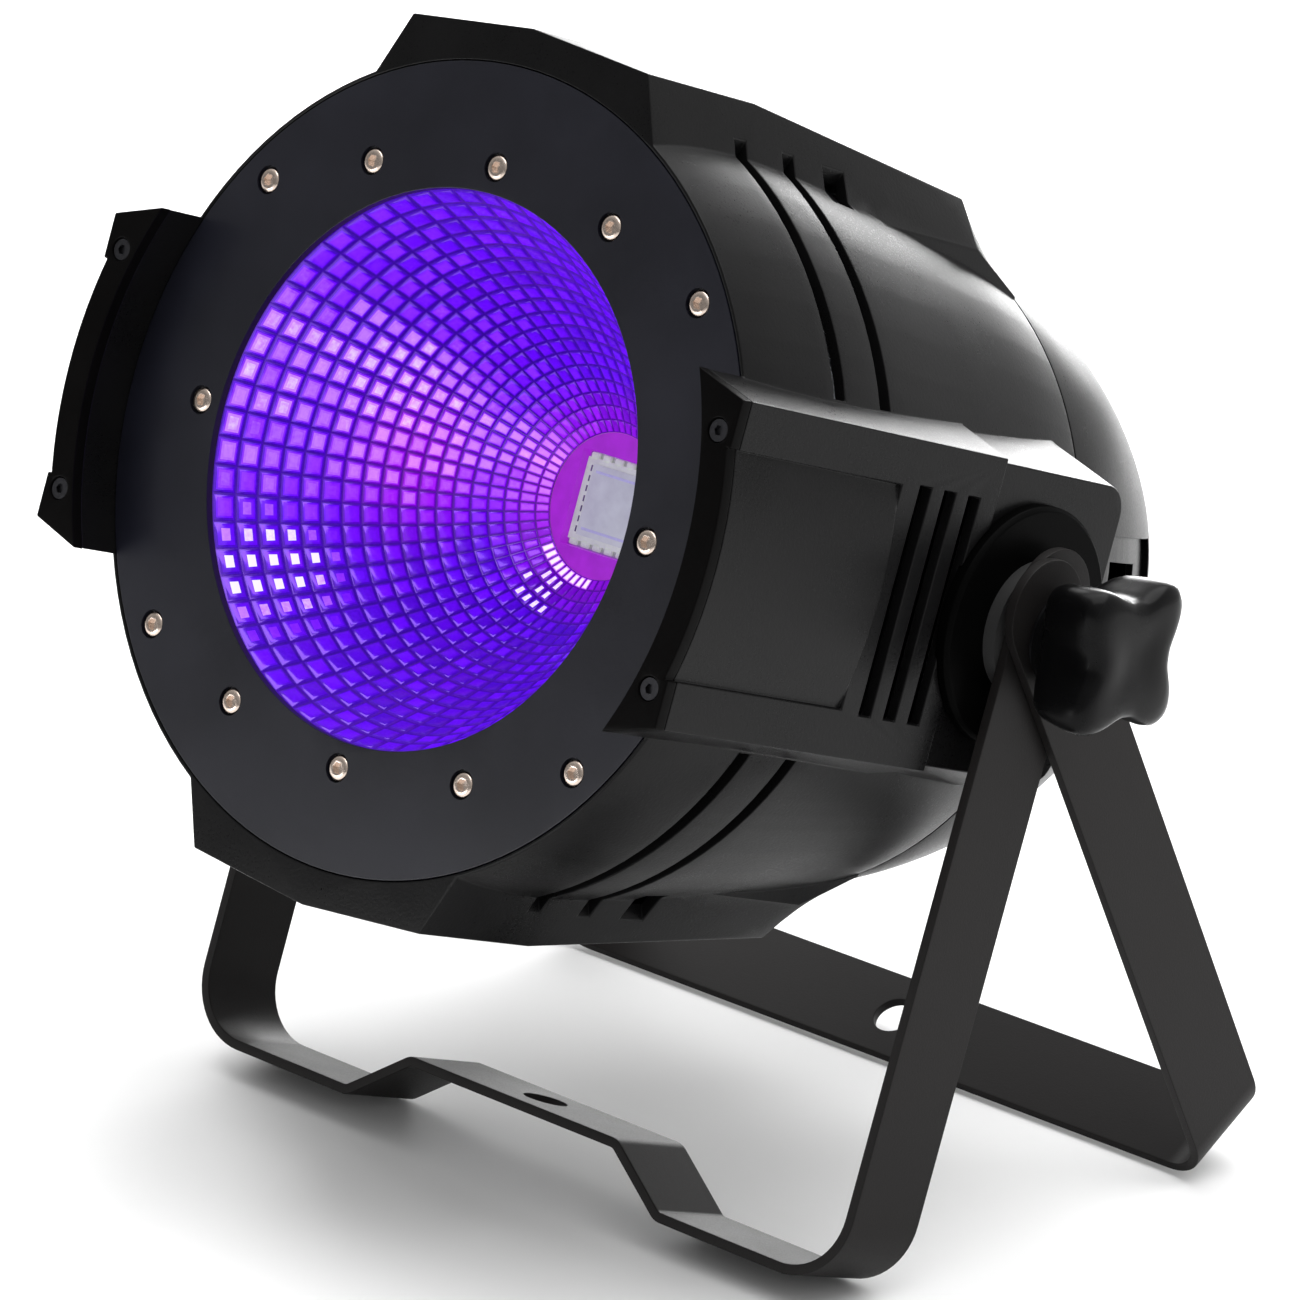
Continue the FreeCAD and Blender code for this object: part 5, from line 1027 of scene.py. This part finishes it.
class Assembly:
    """The whole lamp: builds each sub-assembly and dresses the plain nodes."""

    NODES_BY_COAT: dict[Coat, str] = {
        Coat.POD: "rear_panel", Coat.ALUMINIUM: "heatsink driver", Coat.HOLDER: "cob_holder",
        Coat.STEEL: "chassis_plate data_out_latch safety_eye safety_eye_nut",
        Coat.BLACK_PLASTIC:
            "fan_frame fan_rotor fuse_holder fuse_cap data_in_socket data_out_socket",
        Coat.BLUE_PLASTIC: "power_in_socket", Coat.PALE_PLASTIC: "power_out_socket",
        Coat.BOARD: "control_board", Coat.BRASS: "board_spacers", Coat.WINDOW: "display_module",
        Coat.DARK_SCREW: "seam_screws pod_plate_screws rear_panel_screws socket_screws"}

    SOFT_NODES: tuple[tuple[str, str, Coat, str, float], ...] = (
        ("front_housing", "head", Coat.CASTING, "cast_black", 0.45),
        ("rear_cover", "head", Coat.CASTING, "cast_black", 0.4),
        ("bezel_ring", "head", Coat.BEZEL, "bezel", 0.25),
        *((f"{side}_pod_plate", "head", Coat.POD, "bezel", 0.5) for side in ("left", "right")),
        *((f"{side}_pivot_disc", "head", Coat.DISC_PAINTED_SHADE, "cast_black", 0.35)
          for side in ("left", "right")),
        *((f"{end}_bracket", f"{end}_bracket", Coat.BRACKET, "bracket", 0.4)
          for end in ("front", "rear")))

    def __init__(self) -> None:
        """Finds the lamp's place in the model."""
        self.place = LampFrame.from_model()

    def soften(self) -> None:
        """Stands rounded copies in the place of the castings, plates and brackets."""
        for row in self.SOFT_NODES:
            softened(*row, self.on_bezel_rim if row[0] == "bezel_ring" else lambda point: True)

    def on_bezel_rim(self, point: Vector) -> bool:
        """Tells whether a point lies on the bezel's outer or inner rim."""
        lamp = self.place.to_lamp(point)
        radius = math.hypot(lamp.x, lamp.z)
        return radius > Bezel.rim - 0.5 or radius < Bezel.aperture + 0.5

    def dress_nodes(self) -> None:
        """Gives every node its finish."""
        coats = {name: coat for coat, names in self.NODES_BY_COAT.items() for name in names.split()}
        for name, node in frame["nodes"].items():
            coat = coats.get(name, self.coat_by_kind(name))
            node.data.materials.clear()
            node.data.materials.append(coat.material())
            log.info("%s: %s", name, coat.name)

    @staticmethod
    def coat_by_kind(name: str) -> Coat:
        """Gives the finish of a node by the kind of piece in its name."""
        kinds = (("button", Coat.GREY_PLASTIC), ("spacer", Coat.BLACK_PLASTIC),
                 ("insert", Coat.BRASS), ("washer", Coat.DARK_SCREW), ("knob_stud", Coat.STEEL),
                 ("screws", Coat.STEEL))
        return next((coat for word, coat in kinds if word in name), Coat.CASTING)

    def build(self) -> None:
        """Builds the lamp in order."""
        for part in (Reflector(self.place), Emitter(self.place), Bezel(self.place),
                     ClampKnob(self.place, side=-1), ClampKnob(self.place, side=1),
                     Display(self.place)):
            part.build()
        self.soften()
        self.dress_nodes()


# ---- stage, light and camera ----
@dataclass(frozen=True)
class SoftLight:
    """One soft light.

    Attributes:
        name: the light's name.
        place: its middle, in metres.
        size: its width and height, in metres.
        power: in watts.
        target: the point it shines at, in metres.
    """

    name: str
    place: Point
    size: Pair
    power: float
    target: Point = (0.0, 0.0, 0.16)

    def hang(self) -> None:
        """Puts the light into the scene."""
        data = bpy.data.lights.new(self.name, "AREA")
        data.shape = "RECTANGLE"
        data.size, data.size_y = self.size
        data.energy = self.power
        lamp = add_object(self.name, data)
        lamp.location = self.place
        towards = Vector(self.target) - Vector(self.place)
        lamp.rotation_euler = towards.to_track_quat("-Z", "Y").to_euler()


@dataclass
class Studio:
    """Pale floor, soft lights and the camera.

    Attributes:
        azimuth: the camera's direction, 0 from the front and 90 from the right.
        elevation: its angle above the floor.
        roll: its turn about its own axis.
        distance: from the camera to the point it looks at.
        aim: that point, in metres.
        lens: focal length in millimetres.
        sensor: width of the picture in millimetres.
        bright_side: the direction in which the room is brightest.
        bright: the room's light there.
        dim: the room's light on the opposite side.
        fade: from where to where, along that direction, the light grows.
        floor_half: half the floor's width, in metres.
        floor_z: height of the floor, just below the feet.
        lights: the soft lights.
    """

    azimuth: float = 41.363
    elevation: float = 17.504
    roll: float = 3.688
    distance: float = 1.85095
    aim: Point = (-0.001593, -0.006478, 0.150433)
    lens: float = 179.325
    sensor: float = 36.0
    bright_side: Point = (0.2, 0.75, 0.62)
    bright: float = 0.8
    dim: float = 0.22
    fade: Pair = (-0.75, 0.7)
    floor_half: float = 12.0
    floor_z: float = -0.0004
    lights: tuple[SoftLight, ...] = (
        SoftLight("overhead", (0.2, 0.3, 2.6), (3.2, 3.2), 92.0),
        SoftLight("rear_key", (-1.0, 1.9, 0.55), (0.9, 0.9), 24.0),
        SoftLight("rear_fill", (-1.7, 0.7, 1.3), (1.2, 1.2), 14.0),
        SoftLight("low_fill", (-0.42, -0.95, 0.0), (0.5, 0.3), 3.0, (0.05, 0.0, 0.12)))

    def camera(self) -> None:
        """Puts up the camera."""
        turn, lift = math.radians(self.azimuth), math.radians(self.elevation)
        back = Vector((math.sin(turn) * math.cos(lift), -math.cos(turn) * math.cos(lift),
                       math.sin(lift)))
        data = bpy.data.cameras.new("camera")
        data.lens = self.lens
        data.sensor_width = self.sensor
        data.clip_start, data.clip_end = 0.05, 50.0
        camera = add_object("camera", data)
        camera.location = Vector(self.aim) + back * self.distance
        rotation = (-back).to_track_quat("-Z", "Y").to_matrix().to_4x4()
        camera.rotation_euler = (rotation @ Matrix.Rotation(math.radians(self.roll), 4, "Z")
                                 ).to_euler()
        bpy.context.scene.camera = camera

    def floor(self) -> None:
        """Lays the pale floor."""
        shape = bmesh.new()
        bmesh.ops.create_grid(shape, x_segments=1, y_segments=1, size=self.floor_half)
        bmesh.ops.translate(shape, vec=(0, 0, self.floor_z), verts=shape.verts)
        mesh = bpy.data.meshes.new("floor")
        shape.to_mesh(mesh)
        shape.free()
        sheet = add_object("floor", mesh)
        mesh.materials.append(PaintFinish("floor_white", tone=(0.88, 0.88, 0.88), gloss=0.85,
                                          drift=0.004, depth=0.0, specular=0.1).material())

    def surroundings(self) -> None:
        """Lights the room: pale overhead and behind the lamp, dim in front of it."""
        world = bpy.data.worlds.new("studio")
        world.use_nodes = True
        nodes, links = world.node_tree.nodes, world.node_tree.links
        towards = nodes.new("ShaderNodeVectorMath")
        towards.operation = "DOT_PRODUCT"
        towards.inputs[1].default_value = self.bright_side
        links.new(nodes.new("ShaderNodeTexCoord").outputs["Generated"], towards.inputs[0])
        level = nodes.new("ShaderNodeMapRange")
        level.interpolation_type = "SMOOTHSTEP"
        for socket, value in zip(("From Min", "From Max", "To Min", "To Max"),
                                 (*self.fade, self.dim, self.bright)):
            level.inputs[socket].default_value = value
        links.new(towards.outputs["Value"], level.inputs["Value"])
        links.new(level.outputs["Result"], nodes["Background"].inputs["Strength"])
        nodes["Background"].inputs["Color"].default_value = (1, 1, 1, 1)
        bpy.context.scene.world = world

    def build(self) -> None:
        """Sets up the camera, the floor, the surroundings and the lights."""
        self.camera()
        self.floor()
        self.surroundings()
        bpy.context.scene.view_settings.view_transform = "Standard"
        for light in self.lights:
            light.hang()


def main() -> None:
    """Builds the studio and the lamp."""
    logging.basicConfig(level=logging.INFO, format="%(name)s %(message)s")
    Studio().build()
    Assembly().build()


if __name__ == "__main__":
    main()
